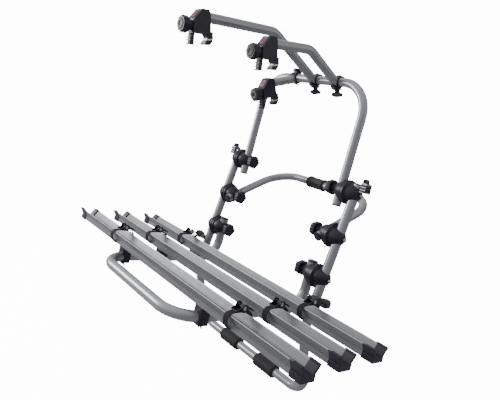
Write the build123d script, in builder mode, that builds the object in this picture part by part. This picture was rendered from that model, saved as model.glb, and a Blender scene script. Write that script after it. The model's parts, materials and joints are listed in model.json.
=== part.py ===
from build123d import *
from math import atan2, cos, degrees, radians, sin
import os

# Rear bike carrier for three bikes, in millimetres.
# +X runs along the wheel rails to the right, +Y towards the vehicle, +Z up.
# The origin is the middle of the lower bar, where its two sleeves rest on the tailgate.

# Tubes: outer radius and wall
FRAME_R = 17.0
HOOP_R = 16.0
PLATFORM_R = 18.0
ARM_R = 16.0
TUBE_WALL = 1.8

# Main frame: two outer legs and the lower bar
FRAME_HALF = 325.0
FRAME_LEAN = 0.1267
FRAME_TOP_Z = 773.0
KNEE_Y = -103.0
KNEE_Z = 254.0
KNEE_BEND = 120.0
LOWER_BEND = 82.0

# Three pairs of pivots, by height; the hoops and the platform hang on them
PIVOT_Z = {"hoop": 742.0, "mid": 587.0, "platform": 442.0}
INNER_HALF = 262.0
PIVOT_FACE_X = 293.0
PIVOT_GAP = 0.3
BOLT_R = 4.0
BOLT_RUN = 0.06
BOLT_HOLE_R = 4.3

# Upper hoop
HOOP_TOP_Z = 1107.0
HOOP_TOP_Y = -38.0
HOOP_BEND = 115.0
HOOP_TAIL = 53.0

# Middle hoop
MID_ANGLE = 29.5
MID_REACH = 276.0
MID_TAIL = 35.0
MID_BEND = 115.0

# Platform: its side tubes slope down a little to the front
PLATFORM_REAR_Z = 308.0
PLATFORM_FRONT_Z = 292.0
PLATFORM_FRONT_Y = -588.0
PLATFORM_TAIL = 37.0
PLATFORM_BEND = 80.0
PLATFORM_CORNER = 100.0

# Pivot mouldings
DISC_R = 42.0
DISC_STEP = 2.0
DISC_RIM = 9.0
DISC_DOME = 4.4
DOME_R = 30.0
DISC_EDGE = 2.0
BELL_WALL = 17.0
BELL_END_DROP = 3.0
BELL_BULGE = 5.5
SADDLE_WALL = 4.5
SEAT_PLAY = 0.15
BOSS_R = 10.0
BOSS_HEIGHT = 2.5
NUT_R = 7.0
NUT_HEIGHT = 5.5
BOLT_END = 2.5

# Pivot knobs
KNOB_R = 27.0
KNOB_LOBES = 5
KNOB_LOBE_R = 11.0
LOBE_SINK = 0.25
KNOB_HEIGHT = 22.0
KNOB_NECK_R = 13.0
KNOB_NECK = 9.0
KNOB_ROUND = 6.0
KNOB_GRIP = 12.0

# Tube end plugs
PLUG_HEAD = 5.0
PLUG_ROUND = 2.5
PLUG_DEPTH = 14.0
PLUG_PLAY = 0.1

# Soft sleeves
SLEEVE_R = 27.0
SLEEVE_LENGTH = 112.0
SLEEVE_OFFSET = 112.0
MID_SLEEVE_R = 25.0
MID_SLEEVE_LENGTH = 84.0
MID_SLEEVE_X = -42.0
SLEEVE_PLAY = 0.1
SLEEVE_EDGE = 2.0

# Wheel rails: one V channel on a hollow foot
RAIL_COUNT = 3
RAIL_PITCH = 157.0
RAIL_MID_Y = -345.0
RAIL_TOP_Z = 370.0
RAIL_LENGTH = 1280.0
RAIL_SHIFT = (16.0, 0.0, -9.0)
RAIL_HALF = 32.3
RAIL_WALL = 2.0
RAIL_HEIGHT = 38.5
RAIL_WAIST_HALF = 19.5
RAIL_WAIST_Z = 23.0
RAIL_FOOT_HALF = 22.0
RAIL_STEP = 1.5
RAIL_RIB = 0.8
RAIL_RIBS = 5
RAIL_LIP = 1.2

# Rail end caps
CAP_WALL = 2.6
CAP_SLEEVE = 8.0
CAP_LENGTH = 32.0
CAP_PLAY = 0.5
CAP_FORK = 7.5

# Blocks that hold the rails on the platform
BLOCK_X = 44.0
BLOCK_Y = 36.0
BLOCK_LOWER = 20.5
BLOCK_GAP = 1.0
BLOCK_ROUND = 7.0
RAIL_BOLT_R = 3.0
RAIL_BOLT_HOLE_R = 3.3
RAIL_BOLT_HEAD_R = 6.5
RAIL_BOLT_HEAD = 3.5
WING_SPAN = 17.0
WING_HEIGHT = 12.0
WING_ROOT = 6.5
WING_TIP = 8.5
WING_SLANT = 3.5
WING_HUB = 7.0
WING_THICK = 3.5

# Wheel straps
STRAP_X = (-335.0, 393.0)
STRAP_WIDTH = 20.0
STRAP_THICK = 2.6
STRAP_ARCH = 8.0
STRAP_PLAY = 0.5
STRAP_BULGE = 4.0
STRAP_EDGE_DROP = 3.2
STRAP_BULGE_DROP = 6.0
BUCKLE_LENGTH = 34.0
BUCKLE_WIDTH = 26.0
BUCKLE_HEIGHT = 15.0
BUCKLE_WALL = 2.5
LEVER_LENGTH = 40.0
LEVER_THICK = 4.0
LEVER_PLAY = 0.4
LEVER_KNEE = 22.0
LEVER_RISE = 2.0
LEVER_DROP = 7.0
LEVER_PIN_Y = 8.0
LEVER_HUB_R = 4.5
PIN_R = 2.0
PIN_RUN = 0.06

# Arms that reach out to the bike frames: each tube's points as (Y, Z) from the top bar, foot first
ARM_X = (-104.0, 112.0, 4.0)
ARM_BEND = 62.0
ARM_RUNS = (
    ((0.0, -4.0), (-115.0, -53.0)),
    ((0.0, -8.0), (-172.0, 61.0), (-334.0, 28.0)),
    ((0.0, -8.0), (-252.0, 93.0), (-524.0, 44.0)),
)
ARM_COPE_GAP = 0.3

# Clamps of the arms on the top bar; angles in degrees from +Y towards +Z
CLAMP_RUN = 0.08
CLAMP_WALL = 4.5
CLAMP_WIDTH = 32.0
CLAMP_PLUG = 16.0
KNOB_ANGLE = (90.0, 290.0, 290.0)
TAB_ANGLE = (270.0, 90.0, 90.0)
CLIP_ANGLE = 240.0
LUG_TOP = (22.0, 30.0, 30.0)
LUG_HALF = 11.0
TAB_LENGTH = 26.0
TAB_OFFSET = 9.0
TAB_THICK = 4.0
TAB_HALF = 9.0
CLIP_OUT = 31.0
CLIP_HALF_X = 9.0
CLIP_HALF_T = 10.0
SCREW_RUN = 0.06
CLAMP_SCREW_R = 3.0
STAR_R = 18.5
STAR_LOBES = 5
STAR_LOBE_R = 6.2
STAR_HEIGHT = 11.0
WING_KNOB_HALF = 22.0
WING_KNOB_R = 9.0
WING_KNOB_STEM = 9.0
WING_SINK = 3.0
WING_KNOB_THICK = 13.0

# Frame holders on the arm ends: u runs out along the arm, w across it and up
HOLDER_HALF = 19.0
HOLDER_TOP = 20.0
HOLDER_FRONT = 54.0
HOLDER_BROW = 28.0
HOLDER_CHEST_W = -12.0
HOLDER_BOTTOM = -50.0
HOLDER_REAR = -8.0
HOLDER_SLOPE = 12.0
HOLDER_ROUND = 4.0
HOLDER_SOCKET = 14.0
HOLDER_NECK_R = 15.0
HOLDER_NECK = 14.0
CHANNEL_TOP = -40.0
CHANNEL_HALF = 12.4
CHANNEL_END = 37.0
SLOT_HALF = 6.4
SLOT_TOP = -20.0
SLOT_REAR = -2.0
SLOT_FRONT = 31.0
FINGER_HALF = 11.0
FINGER_REAR = 44.0
FINGER_FRONT = 53.0
FINGER_TIP = -86.0
FINGER_RIBS = 3
FINGER_RIB = 4.0
FINGER_RIB_PITCH = 10.5
FINGER_RIB_OUT = 5.5
JAW_HALF = 12.4
JAW_PLAY = 0.4
JAW_FRONT = 5.0
JAW_THROAT = -2.0
JAW_BULGE = -23.0
JAW_SHOULDER = 2.0
JAW_TIP = -80.0
JAW_TIP_REAR = -14.0
JAW_STEPS = (6.0, 9.0, 17.0, 21.0)
JAW_ROUND = 2.0
JAW_STEM_REAR = 4.0
JAW_STEM_FRONT = 16.0
SCREW_W = -31.0
SCREW_R = 4.0
SCREW_REAR = -1.5
HOLDER_KNOB_R = 25.0
HOLDER_KNOB_LOBES = 8
HOLDER_KNOB_LOBE_R = 6.0
HOLDER_KNOB_LENGTH = 20.0
HOLDER_KNOB_ROUND = 4.0

# Belt fittings on the legs: a steel bracket and its folded belt
BELT_CLEAR = 4.8
BELT_DEPTH = 22.0
BELT_WIDTH = 32.0
BELT_PLATE = 1.6
BELT_LOW_Z = 753.0
BELT_HIGH_Z = 786.0
BELT_ROLL_R = 7.0
BELT_STACK = 13.0
BELT_STACK_BULGE = 4.0
BELT_STACK_HEIGHT = 26.0
HOOK_LENGTH = 38.0
HOOK_HEIGHT = 13.0
HOOK_Z = 375.0
ROLL_WIDTH = 32.0
ROLL_HEIGHT = 30.0
ROLL_DEPTH = 20.0
ROLL_ROUND = 4.0
BELT_THICK = 3.0
BELT_BAND = 20.0
ROLL_SINK = 2.0
BAND_SINK = 0.5

X_AXIS = (1, 0, 0)


def leg_y(z):
    """Y of the main frame's straight upper leg at a height."""
    return KNEE_Y + FRAME_LEAN * (z - KNEE_Z)


def pivot(name):
    """Y and Z of one pivot axis."""
    return leg_y(PIVOT_Z[name]), PIVOT_Z[name]


def across(x, y=0.0, z=0.0):
    """Plane across the X axis: local x is +Y, local y is +Z."""
    return Plane(origin=(x, y, z), x_dir=(0, 1, 0), z_dir=X_AXIS)


def finish(sub_part, label):
    """Label a finished sub-part and write its file."""
    sub_part.part.label = label
    export_step(sub_part.part, f"parts/{label}.step")


def bent_bar(points, bends, radius, bore=0.0):
    """Round bar or tube along straight runs joined by tangent arcs."""
    with BuildPart() as bar:
        with BuildLine() as path:
            FilletPolyline(*points, radius=bends)
        with BuildSketch(Plane(origin=path.line @ 0, z_dir=path.line % 0)):
            Circle(radius)
            if bore > 0:
                Circle(bore, mode=Mode.SUBTRACT)
        sweep(path=path.line)
    return bar.part


def bent_tube(points, bends, radius):
    return bent_bar(points, bends, radius, radius - TUBE_WALL)


def straight_tube(points, radius):
    """Round tube along one straight run."""
    start, end = (Vector(*point) for point in points)
    with BuildPart() as tube:
        with BuildSketch(Plane(origin=start, z_dir=end - start)):
            Circle(radius)
            Circle(radius - TUBE_WALL, mode=Mode.SUBTRACT)
        extrude(amount=(end - start).length)
    return tube.part


def pivot_drill(name):
    """Drill along X at a pivot, long enough for both sides."""
    with BuildPart() as drill:
        with BuildSketch(across(0, *pivot(name))):
            Circle(BOLT_HOLE_R)
        extrude(amount=FRAME_HALF + FRAME_R + 1, both=True)
    return drill.part


def mirrored(points):
    """The points of a U, from its right end to its left end."""
    return list(points) + [(-x, y, z) for x, y, z in reversed(points)]


def frame_points():
    top = (FRAME_HALF, leg_y(FRAME_TOP_Z), FRAME_TOP_Z)
    return [top, (FRAME_HALF, KNEE_Y, KNEE_Z), (FRAME_HALF, 0, 0)]


def hoop_points():
    y, z = pivot("hoop")
    slope = (HOOP_TOP_Y - y) / (HOOP_TOP_Z - z)
    return [(INNER_HALF, y - slope * HOOP_TAIL, z - HOOP_TAIL), (INNER_HALF, HOOP_TOP_Y, HOOP_TOP_Z)]


def mid_points():
    y, z = pivot("mid")
    dy, dz = cos(radians(MID_ANGLE)), sin(radians(MID_ANGLE))
    tail = (INNER_HALF, y - MID_TAIL * dy, z - MID_TAIL * dz)
    return [tail, (INNER_HALF, y + MID_REACH * dy, z + MID_REACH * dz)]


def platform_points():
    y, z = pivot("platform")
    return [
        (INNER_HALF, y, z + PLATFORM_TAIL),
        (INNER_HALF, y, PLATFORM_REAR_Z),
        (INNER_HALF, PLATFORM_FRONT_Y, PLATFORM_FRONT_Z),
    ]


INNER = {
    "hoop": (hoop_points(), HOOP_R),
    "mid": (mid_points(), HOOP_R),
    "platform": (platform_points(), PLATFORM_R),
}


def main_frame():
    bends = [KNEE_BEND, LOWER_BEND, LOWER_BEND, KNEE_BEND]
    tube = bent_tube(mirrored(frame_points()), bends, FRAME_R)
    drills = [pivot_drill(name) for name in PIVOT_Z]
    with BuildPart() as drilled:
        add(tube)
        add(drills, mode=Mode.SUBTRACT)
    return drilled


def upper_hoop():
    tube = bent_tube(mirrored(hoop_points()), [HOOP_BEND] * 2, HOOP_R)
    drill = pivot_drill("hoop")
    with BuildPart() as drilled:
        add(tube)
        add(drill, mode=Mode.SUBTRACT)
    return drilled


def mid_hoop():
    tube = bent_tube(mirrored(mid_points()), [MID_BEND] * 2, HOOP_R)
    drill = pivot_drill("mid")
    with BuildPart() as drilled:
        add(tube)
        add(drill, mode=Mode.SUBTRACT)
    return drilled


def platform_path():
    """The platform tube's points and the bends at its inner points."""
    return mirrored(platform_points()), [PLATFORM_BEND, PLATFORM_CORNER, PLATFORM_CORNER, PLATFORM_BEND]


def platform_frame():
    tube = bent_tube(*platform_path(), PLATFORM_R)
    drill = pivot_drill("platform")
    with BuildPart() as drilled:
        add(tube)
        add(drill, mode=Mode.SUBTRACT)
        with BuildSketch(Plane.XY.offset(PLATFORM_FRONT_Z - PLATFORM_R - 1)):
            with Locations(*crossings()):
                Circle(RAIL_BOLT_HOLE_R)
        extrude(amount=2 * PLATFORM_R + PLATFORM_REAR_Z - PLATFORM_FRONT_Z + 2, mode=Mode.SUBTRACT)
    return drilled


def end_plugs(points, radius):
    """A plug in the right end of a U and its mirror image in the left end."""
    end = Vector(*points[0])
    outward = (end - Vector(*points[1])).normalized()
    with BuildPart() as plugs:
        with BuildSketch(Plane(origin=end, z_dir=outward)):
            Circle(radius)
        extrude(amount=PLUG_HEAD)
        fillet(plugs.edges().filter_by(GeomType.CIRCLE).sort_by(Axis(end, outward))[-1], PLUG_ROUND)
        with BuildSketch(Plane(origin=end, z_dir=outward)):
            Circle(radius - TUBE_WALL - PLUG_PLAY)
        extrude(amount=-PLUG_DEPTH)
        mirror(about=Plane.YZ)
    return plugs


def sleeves(places, y, z, inner, outer, length):
    """Round soft sleeves on a bar that runs along X, centred at the given X places."""
    with BuildPart() as group:
        for x in places:
            with BuildSketch(across(x - length / 2, y, z)):
                Circle(outer)
                Circle(inner, mode=Mode.SUBTRACT)
            extrude(amount=length)
        chamfer(group.edges().filter_by(GeomType.CIRCLE).group_by(SortBy.RADIUS)[-1], SLEEVE_EDGE)
    return group


def lower_sleeves():
    places = (-SLEEVE_OFFSET, SLEEVE_OFFSET)
    return sleeves(places, 0, 0, FRAME_R + SLEEVE_PLAY, SLEEVE_R, SLEEVE_LENGTH)


def mid_sleeve():
    _, y, z = mid_points()[1]
    return sleeves((MID_SLEEVE_X,), y, z, HOOP_R + SLEEVE_PLAY, MID_SLEEVE_R, MID_SLEEVE_LENGTH)


def boss_end(tube_x, tube_r, way):
    """X where a moulding's boss ends, on the side away from its disc."""
    return tube_x + way * (tube_r + SADDLE_WALL + BOSS_HEIGHT)


def disc_profile(face_x, way, disc_r):
    """Half section of a disc in the XZ plane: flat face, rim, rounded edge and dome."""
    with BuildSketch() as profile:
        with BuildLine():
            Polyline(
                (face_x, 0),
                (face_x, disc_r),
                (face_x + way * DISC_RIM, disc_r),
                (face_x + way * (DISC_RIM + DISC_DOME), DOME_R),
                (face_x + way * (DISC_RIM + DISC_DOME), 0),
                close=True,
            )
        make_face()
        outer = profile.vertices().filter_by(lambda v: v.Y > 1 and abs(v.X - face_x) > 1)
        fillet(outer, DISC_EDGE)
    return profile.sketch


def pivot_moulding(name, face_x, way, tube_x, tube_r, disc_r, lean):
    """Right-hand disc with a domed bell round its tube, which leans by lean radians from +Z to +Y."""
    y, z = pivot(name)
    along = Vector(0, sin(lean), cos(lean))
    far_x = tube_x + way * (tube_r + SADDLE_WALL)
    root_x = face_x + way * DISC_RIM
    root_r = tube_r + BELL_WALL
    end_r = tube_r - BELL_END_DROP
    bulge = ((root_x + far_x) / 2 + way * BELL_BULGE / 2, (root_r + end_r) / 2 + BELL_BULGE)
    profile = disc_profile(face_x, way, disc_r)
    with BuildPart() as moulding:
        with BuildSketch(Plane(origin=(0, y, z), x_dir=X_AXIS, z_dir=(0, -1, 0))):
            add(profile)
            with BuildLine():
                Line((root_x, 0), (root_x, root_r))
                ThreePointArc((root_x, root_r), bulge, (far_x, end_r))
                Polyline((far_x, end_r), (far_x, 0), (root_x, 0))
            make_face()
        revolve(axis=Axis((0, y, z), X_AXIS))
        with BuildSketch(across(far_x, y, z)):
            Circle(BOSS_R)
        extrude(amount=way * BOSS_HEIGHT)
        with BuildSketch(Plane(origin=Vector(tube_x, y, z) - along * 2 * DISC_R, z_dir=along)):
            Circle(tube_r + SEAT_PLAY)
        extrude(amount=4 * DISC_R, mode=Mode.SUBTRACT)
        with BuildSketch(across(0, y, z)):
            Circle(BOLT_R + BOLT_RUN)
        extrude(amount=FRAME_HALF + 2 * DISC_R, mode=Mode.SUBTRACT)
    return moulding.part


def frame_discs():
    """Six mouldings on the main frame's legs."""
    lean = atan2(FRAME_LEAN, 1)
    rights = [pivot_moulding(name, PIVOT_FACE_X, 1, FRAME_HALF, FRAME_R, DISC_R, lean) for name in PIVOT_Z]
    with BuildPart() as group:
        add(rights)
        mirror(about=Plane.YZ)
    return group


def inner_discs(name):
    """The two mouldings that turn with an inner tube."""
    points, tube_r = INNER[name]
    run = Vector(*points[0]) - Vector(*points[1])
    lean = atan2(run.Y, run.Z)
    face_x = PIVOT_FACE_X - PIVOT_GAP
    right = pivot_moulding(name, face_x, -1, INNER_HALF, tube_r, DISC_R - DISC_STEP, lean)
    with BuildPart() as pair:
        add(right)
        mirror(about=Plane.YZ)
    return pair


def knob_top(name):
    """X of the right knob's end that faces the inner moulding's boss."""
    return boss_end(INNER_HALF, INNER[name][1], -1) - PIVOT_GAP


def lobed(radius, lobes, lobe_r):
    """Lobed grip outline: round lobes on a circle, joined by a disc."""
    with BuildSketch() as outline:
        Circle(radius - lobe_r * LOBE_SINK)
        with PolarLocations(radius - lobe_r, lobes):
            Circle(lobe_r)
    return outline.sketch


def pivot_knob(name, side):
    """Lobed knob that turns on the pivot bolt and draws the two discs together."""
    y, z = pivot(name)
    top = side * knob_top(name)
    head = side * (knob_top(name) - KNOB_NECK)
    outline = lobed(KNOB_R, KNOB_LOBES, KNOB_LOBE_R)
    with BuildPart() as knob:
        with BuildSketch(across(head, y, z)):
            add(outline)
        extrude(amount=-side * KNOB_HEIGHT)
        fillet(knob.faces().sort_by(Axis.X)[0 if side > 0 else -1].edges(), KNOB_ROUND)
        with BuildSketch(across(head, y, z)):
            Circle(KNOB_NECK_R)
        extrude(amount=side * KNOB_NECK)
        with BuildSketch(across(top, y, z)):
            Circle(BOLT_R + BOLT_RUN)
        extrude(amount=-side * (KNOB_NECK + KNOB_GRIP), mode=Mode.SUBTRACT)
    return knob


def pivot_bolts():
    """Six bolts, each from inside its knob out past the nut."""
    outer = boss_end(FRAME_HALF, FRAME_R, 1) + NUT_HEIGHT + BOLT_END
    with BuildPart() as bolts:
        for name in PIVOT_Z:
            inner = knob_top(name) - KNOB_NECK - KNOB_GRIP + PIVOT_GAP
            with BuildSketch(across(inner, *pivot(name))):
                Circle(BOLT_R)
            extrude(amount=outer - inner)
        mirror(about=Plane.YZ)
    return bolts


def pivot_nuts():
    """Six nuts on the bosses of the outer mouldings."""
    with BuildPart() as nuts:
        for name in PIVOT_Z:
            with BuildSketch(across(boss_end(FRAME_HALF, FRAME_R, 1), *pivot(name))):
                RegularPolygon(NUT_R, 6)
                Circle(BOLT_R + BOLT_RUN, mode=Mode.SUBTRACT)
            extrude(amount=NUT_HEIGHT)
        mirror(about=Plane.YZ)
    return nuts


def rail_y(row):
    return RAIL_MID_Y + (row - 1) * RAIL_PITCH


def crossings():
    """X and Y of the six places where a rail crosses the platform's side tubes."""
    return [(x, rail_y(row)) for x in (-INNER_HALF, INNER_HALF) for row in range(RAIL_COUNT)]


def side_tube_z(y):
    """Height of the platform side tubes' axis at a Y."""
    rear_y = pivot("platform")[0]
    share = (y - PLATFORM_FRONT_Y) / (rear_y - PLATFORM_FRONT_Y)
    return PLATFORM_FRONT_Z + share * (PLATFORM_REAR_Z - PLATFORM_FRONT_Z)


def rail_outline(grow=0.0, rise=0.0):
    """Half of the rail's outline as (Y, Z below its top), tip to foot, grown, its flange run up by rise."""
    flare = (RAIL_HALF - RAIL_WAIST_HALF) / RAIL_WAIST_Z
    return [
        (RAIL_HALF + grow + rise * flare, rise),
        (RAIL_WAIST_HALF + grow, -RAIL_WAIST_Z),
        (RAIL_FOOT_HALF + grow, -RAIL_WAIST_Z - RAIL_STEP),
        (RAIL_FOOT_HALF + grow, -RAIL_HEIGHT - grow),
    ]


def channel_outline(shrink=0.0, rise=0.0):
    """Half of the open channel inside the rail, tip to floor."""
    tip = RAIL_HALF - RAIL_WALL - shrink
    return [(tip, rise), (tip, 0), (RAIL_WAIST_HALF - RAIL_WALL - shrink, -RAIL_WAIST_Z + RAIL_WALL)]


def symmetric(half):
    """Close a half outline with its mirror image."""
    return half + [(-y, z) for y, z in reversed(half)]


def rail(row):
    """One wheel rail: an extruded V channel with fine ribs, on a hollow foot."""
    foot_top = -RAIL_WAIST_Z - RAIL_STEP
    foot_low = -RAIL_HEIGHT + RAIL_WALL
    slope = degrees(atan2(RAIL_WAIST_Z, RAIL_HALF - RAIL_WAIST_HALF))
    _, (top_y, top_z), (low_y, low_z) = channel_outline()
    with BuildPart() as channel:
        with BuildSketch(across(RAIL_SHIFT[row] - RAIL_LENGTH / 2, rail_y(row), RAIL_TOP_Z)):
            with BuildLine():
                Polyline(*symmetric(rail_outline()), close=True)
            make_face()
            with BuildLine():
                Polyline(*symmetric(channel_outline(rise=1.0)), close=True)
            make_face(mode=Mode.SUBTRACT)
            with Locations((0, (foot_top + foot_low) / 2)):
                Rectangle(2 * (RAIL_FOOT_HALF - RAIL_WALL), foot_top - foot_low, mode=Mode.SUBTRACT)
            for side in (-1, 1):
                for rib in range(RAIL_RIBS):
                    share = (rib + 1) / (RAIL_RIBS + 1)
                    with Locations((side * (top_y + (low_y - top_y) * share), top_z + (low_z - top_z) * share)):
                        Rectangle(RAIL_RIB, RAIL_RIB, rotation=side * slope)
                with Locations((side * (RAIL_HALF - RAIL_WALL / 2), 0)):
                    Circle(RAIL_LIP)
        extrude(amount=RAIL_LENGTH)
        with BuildSketch(Plane.XY.offset(RAIL_TOP_Z - RAIL_HEIGHT - 1)):
            with Locations((-INNER_HALF, rail_y(row)), (INNER_HALF, rail_y(row))):
                Circle(RAIL_BOLT_HOLE_R)
        extrude(amount=RAIL_WALL + 2, mode=Mode.SUBTRACT)
    return channel


def rail_end_cap(row, side):
    """One forked end cap: sleeved over the rail's end, its fork carries the channel on."""
    start = RAIL_SHIFT[row] + side * (RAIL_LENGTH / 2 - CAP_SLEEVE)
    place = across(start, rail_y(row), RAIL_TOP_Z)
    with BuildPart() as cap:
        with BuildSketch(place):
            with BuildLine():
                Polyline(*symmetric(rail_outline(CAP_WALL, CAP_WALL)), close=True)
            make_face()
        extrude(amount=side * (CAP_SLEEVE + CAP_LENGTH))
        with BuildSketch(place):
            with BuildLine():
                Polyline(*symmetric(rail_outline(CAP_PLAY, CAP_WALL + 1)), close=True)
            make_face()
        extrude(amount=side * (CAP_SLEEVE + CAP_PLAY), mode=Mode.SUBTRACT)
        with BuildSketch(place):
            with BuildLine():
                Polyline(*symmetric(channel_outline(CAP_FORK - RAIL_WALL, CAP_WALL + 1)), close=True)
            make_face()
        extrude(amount=side * (CAP_SLEEVE + CAP_LENGTH + 1), mode=Mode.SUBTRACT)
    return cap.part


def rail_end_caps():
    caps = [rail_end_cap(row, side) for row in range(RAIL_COUNT) for side in (-1, 1)]
    with BuildPart() as group:
        add(caps)
    return group


def rail_block(x, y, tube):
    """Two half blocks round the platform tube, the upper one up to the rail's foot."""
    axis_z = side_tube_z(y)
    low = axis_z - BLOCK_LOWER
    high = RAIL_TOP_Z - RAIL_HEIGHT
    with BuildPart() as block:
        with BuildSketch(Plane.XY.offset(low)):
            with Locations((x, y)):
                RectangleRounded(BLOCK_X, BLOCK_Y, BLOCK_ROUND)
        extrude(amount=high - low)
        with BuildSketch(Plane.XY.offset(axis_z - BLOCK_GAP / 2)):
            with Locations((x, y)):
                Rectangle(BLOCK_X + 2, BLOCK_Y + 2)
        extrude(amount=BLOCK_GAP, mode=Mode.SUBTRACT)
        add(tube, mode=Mode.SUBTRACT)
        with BuildSketch(Plane.XY.offset(low - 1)):
            with Locations((x, y)):
                Circle(RAIL_BOLT_HOLE_R)
        extrude(amount=high - low + 2, mode=Mode.SUBTRACT)
    return block.part


def rail_blocks():
    tube = bent_bar(*platform_path(), PLATFORM_R + SEAT_PLAY)
    halves = [rail_block(x, y, tube) for x, y in crossings()]
    with BuildPart() as group:
        add(halves)
    return group


def rail_bolts():
    """Six bolts from inside the rail's foot down through block and tube."""
    seat = RAIL_TOP_Z - RAIL_HEIGHT + RAIL_WALL
    with BuildPart() as bolts:
        for x, y in crossings():
            low = side_tube_z(y) - BLOCK_LOWER - WING_HEIGHT
            with BuildSketch(Plane.XY.offset(low)):
                with Locations((x, y)):
                    Circle(RAIL_BOLT_R)
            extrude(amount=seat - low)
            with BuildSketch(Plane.XY.offset(seat)):
                with Locations((x, y)):
                    Circle(RAIL_BOLT_HEAD_R)
            extrude(amount=RAIL_BOLT_HEAD)
    return bolts


def wing_nut(x, y):
    """Wing nut that turns on a rail bolt, under the lower half block."""
    top = side_tube_z(y) - BLOCK_LOWER
    with BuildPart() as nut:
        with BuildSketch(Plane(origin=(x, y, top), x_dir=X_AXIS, z_dir=(0, 1, 0))):
            with BuildLine():
                Polyline(
                    (-RAIL_BOLT_HEAD_R, 0),
                    (RAIL_BOLT_HEAD_R, 0),
                    (WING_SPAN, WING_TIP),
                    (WING_SPAN - WING_SLANT, WING_HEIGHT),
                    (RAIL_BOLT_HEAD_R, WING_ROOT),
                    (-RAIL_BOLT_HEAD_R, WING_ROOT),
                    (-WING_SPAN + WING_SLANT, WING_HEIGHT),
                    (-WING_SPAN, WING_TIP),
                    close=True,
                )
            make_face()
        extrude(amount=WING_THICK / 2, both=True)
        with BuildSketch(Plane.XY.offset(top)):
            with Locations((x, y)):
                Circle(RAIL_BOLT_HEAD_R)
        extrude(amount=-WING_HUB)
        with BuildSketch(Plane.XY.offset(top + 1)):
            with Locations((x, y)):
                Circle(RAIL_BOLT_R + BOLT_RUN)
        extrude(amount=-WING_HEIGHT - 2, mode=Mode.SUBTRACT)
    return nut.part


def rail_wing_nuts():
    nuts = [wing_nut(x, y) for x, y in crossings()]
    with BuildPart() as group:
        add(nuts)
    return group


def strap_places():
    """Row and X of the six wheel straps."""
    return [(row, RAIL_SHIFT[row] + x) for row in range(RAIL_COUNT) for x in STRAP_X]


def band_outline(grow):
    """The strap's closed loop round a rail as (Y, Z below its top), clear of the rail by play plus grow."""
    tip = RAIL_HALF + RAIL_LIP + STRAP_PLAY + grow
    foot = RAIL_FOOT_HALF + STRAP_PLAY + grow
    floor = -RAIL_HEIGHT - STRAP_PLAY - grow
    over = RAIL_LIP + STRAP_PLAY + grow
    return [
        (-foot, floor),
        (foot, floor),
        (tip, -STRAP_EDGE_DROP),
        (tip, over),
        (BUCKLE_LENGTH / 2, STRAP_ARCH + grow),
        (-BUCKLE_LENGTH / 2, STRAP_ARCH + grow),
        (-tip, over + 1),
        (-tip - STRAP_BULGE, -STRAP_BULGE_DROP),
        (-tip - STRAP_BULGE / 2, -RAIL_WAIST_Z),
    ]


def strap_band(row, x):
    """One strap: a closed loop round its rail and over its channel."""
    with BuildPart() as band:
        for grow, mode in ((STRAP_THICK, Mode.ADD), (0, Mode.SUBTRACT)):
            with BuildSketch(across(x, rail_y(row), RAIL_TOP_Z)):
                with BuildLine():
                    Polyline(*band_outline(grow), close=True)
                make_face()
            extrude(amount=STRAP_WIDTH / 2, both=True, mode=mode)
    return band.part


def strap_bands():
    bands = [strap_band(row, x) for row, x in strap_places()]
    with BuildPart() as group:
        add(bands)
    return group


def buckle_base():
    """Height of the buckle's foot above the rail's top: on the band's arch."""
    return STRAP_ARCH + STRAP_THICK


def lever_pin():
    """Y from the rail's middle, and Z above its top, of a strap lever's pin."""
    return LEVER_PIN_Y, buckle_base() + BUCKLE_HEIGHT - LEVER_HUB_R


def strap_buckle(row, x):
    """Buckle frame on the band: a floor, two cheeks and the lever's pin."""
    pin_y, pin_z = lever_pin()
    base = buckle_base()
    end = BUCKLE_LENGTH / 2
    with BuildPart() as buckle:
        for side in (-1, 1):
            place = across(x + side * BUCKLE_WIDTH / 2, rail_y(row), RAIL_TOP_Z)
            with BuildSketch(place):
                with BuildLine():
                    Polyline(
                        (-end, base),
                        (end, base),
                        (end, base + BUCKLE_HEIGHT / 2),
                        (pin_y + LEVER_HUB_R, base + BUCKLE_HEIGHT),
                        (pin_y - LEVER_HUB_R, base + BUCKLE_HEIGHT),
                        (-end, base + BUCKLE_HEIGHT / 3),
                        close=True,
                    )
                make_face()
            extrude(amount=-side * BUCKLE_WALL)
        with BuildSketch(across(x, rail_y(row), RAIL_TOP_Z)):
            with Locations((0, base + BUCKLE_WALL / 2)):
                Rectangle(BUCKLE_LENGTH, BUCKLE_WALL)
            with Locations((pin_y, pin_z)):
                Circle(PIN_R)
        extrude(amount=BUCKLE_WIDTH / 2, both=True)
    return buckle.part


def strap_buckles():
    buckles = [strap_buckle(row, x) for row, x in strap_places()]
    with BuildPart() as group:
        add(buckles)
    return group


def strap_lever(row, x):
    """Thumb lever that turns on the buckle's pin; at rest it lies shut towards +Y."""
    pin_y, pin_z = lever_pin()
    half = BUCKLE_WIDTH / 2 - BUCKLE_WALL - LEVER_PLAY
    with BuildPart() as lever:
        with BuildSketch(across(x, rail_y(row), RAIL_TOP_Z)):
            with BuildLine():
                Polyline(
                    (pin_y, pin_z + LEVER_HUB_R),
                    (pin_y + LEVER_KNEE, pin_z + LEVER_RISE),
                    (pin_y + LEVER_LENGTH, pin_z - LEVER_DROP),
                    (pin_y + LEVER_LENGTH - LEVER_RISE, pin_z - LEVER_DROP - LEVER_THICK),
                    (pin_y + LEVER_KNEE - LEVER_RISE, pin_z - LEVER_THICK),
                    (pin_y + LEVER_RISE, pin_z - LEVER_THICK),
                    close=True,
                )
            make_face()
            with Locations((pin_y, pin_z)):
                Circle(LEVER_HUB_R)
                Circle(PIN_R + PIN_RUN, mode=Mode.SUBTRACT)
        extrude(amount=half, both=True)
    return lever


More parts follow.
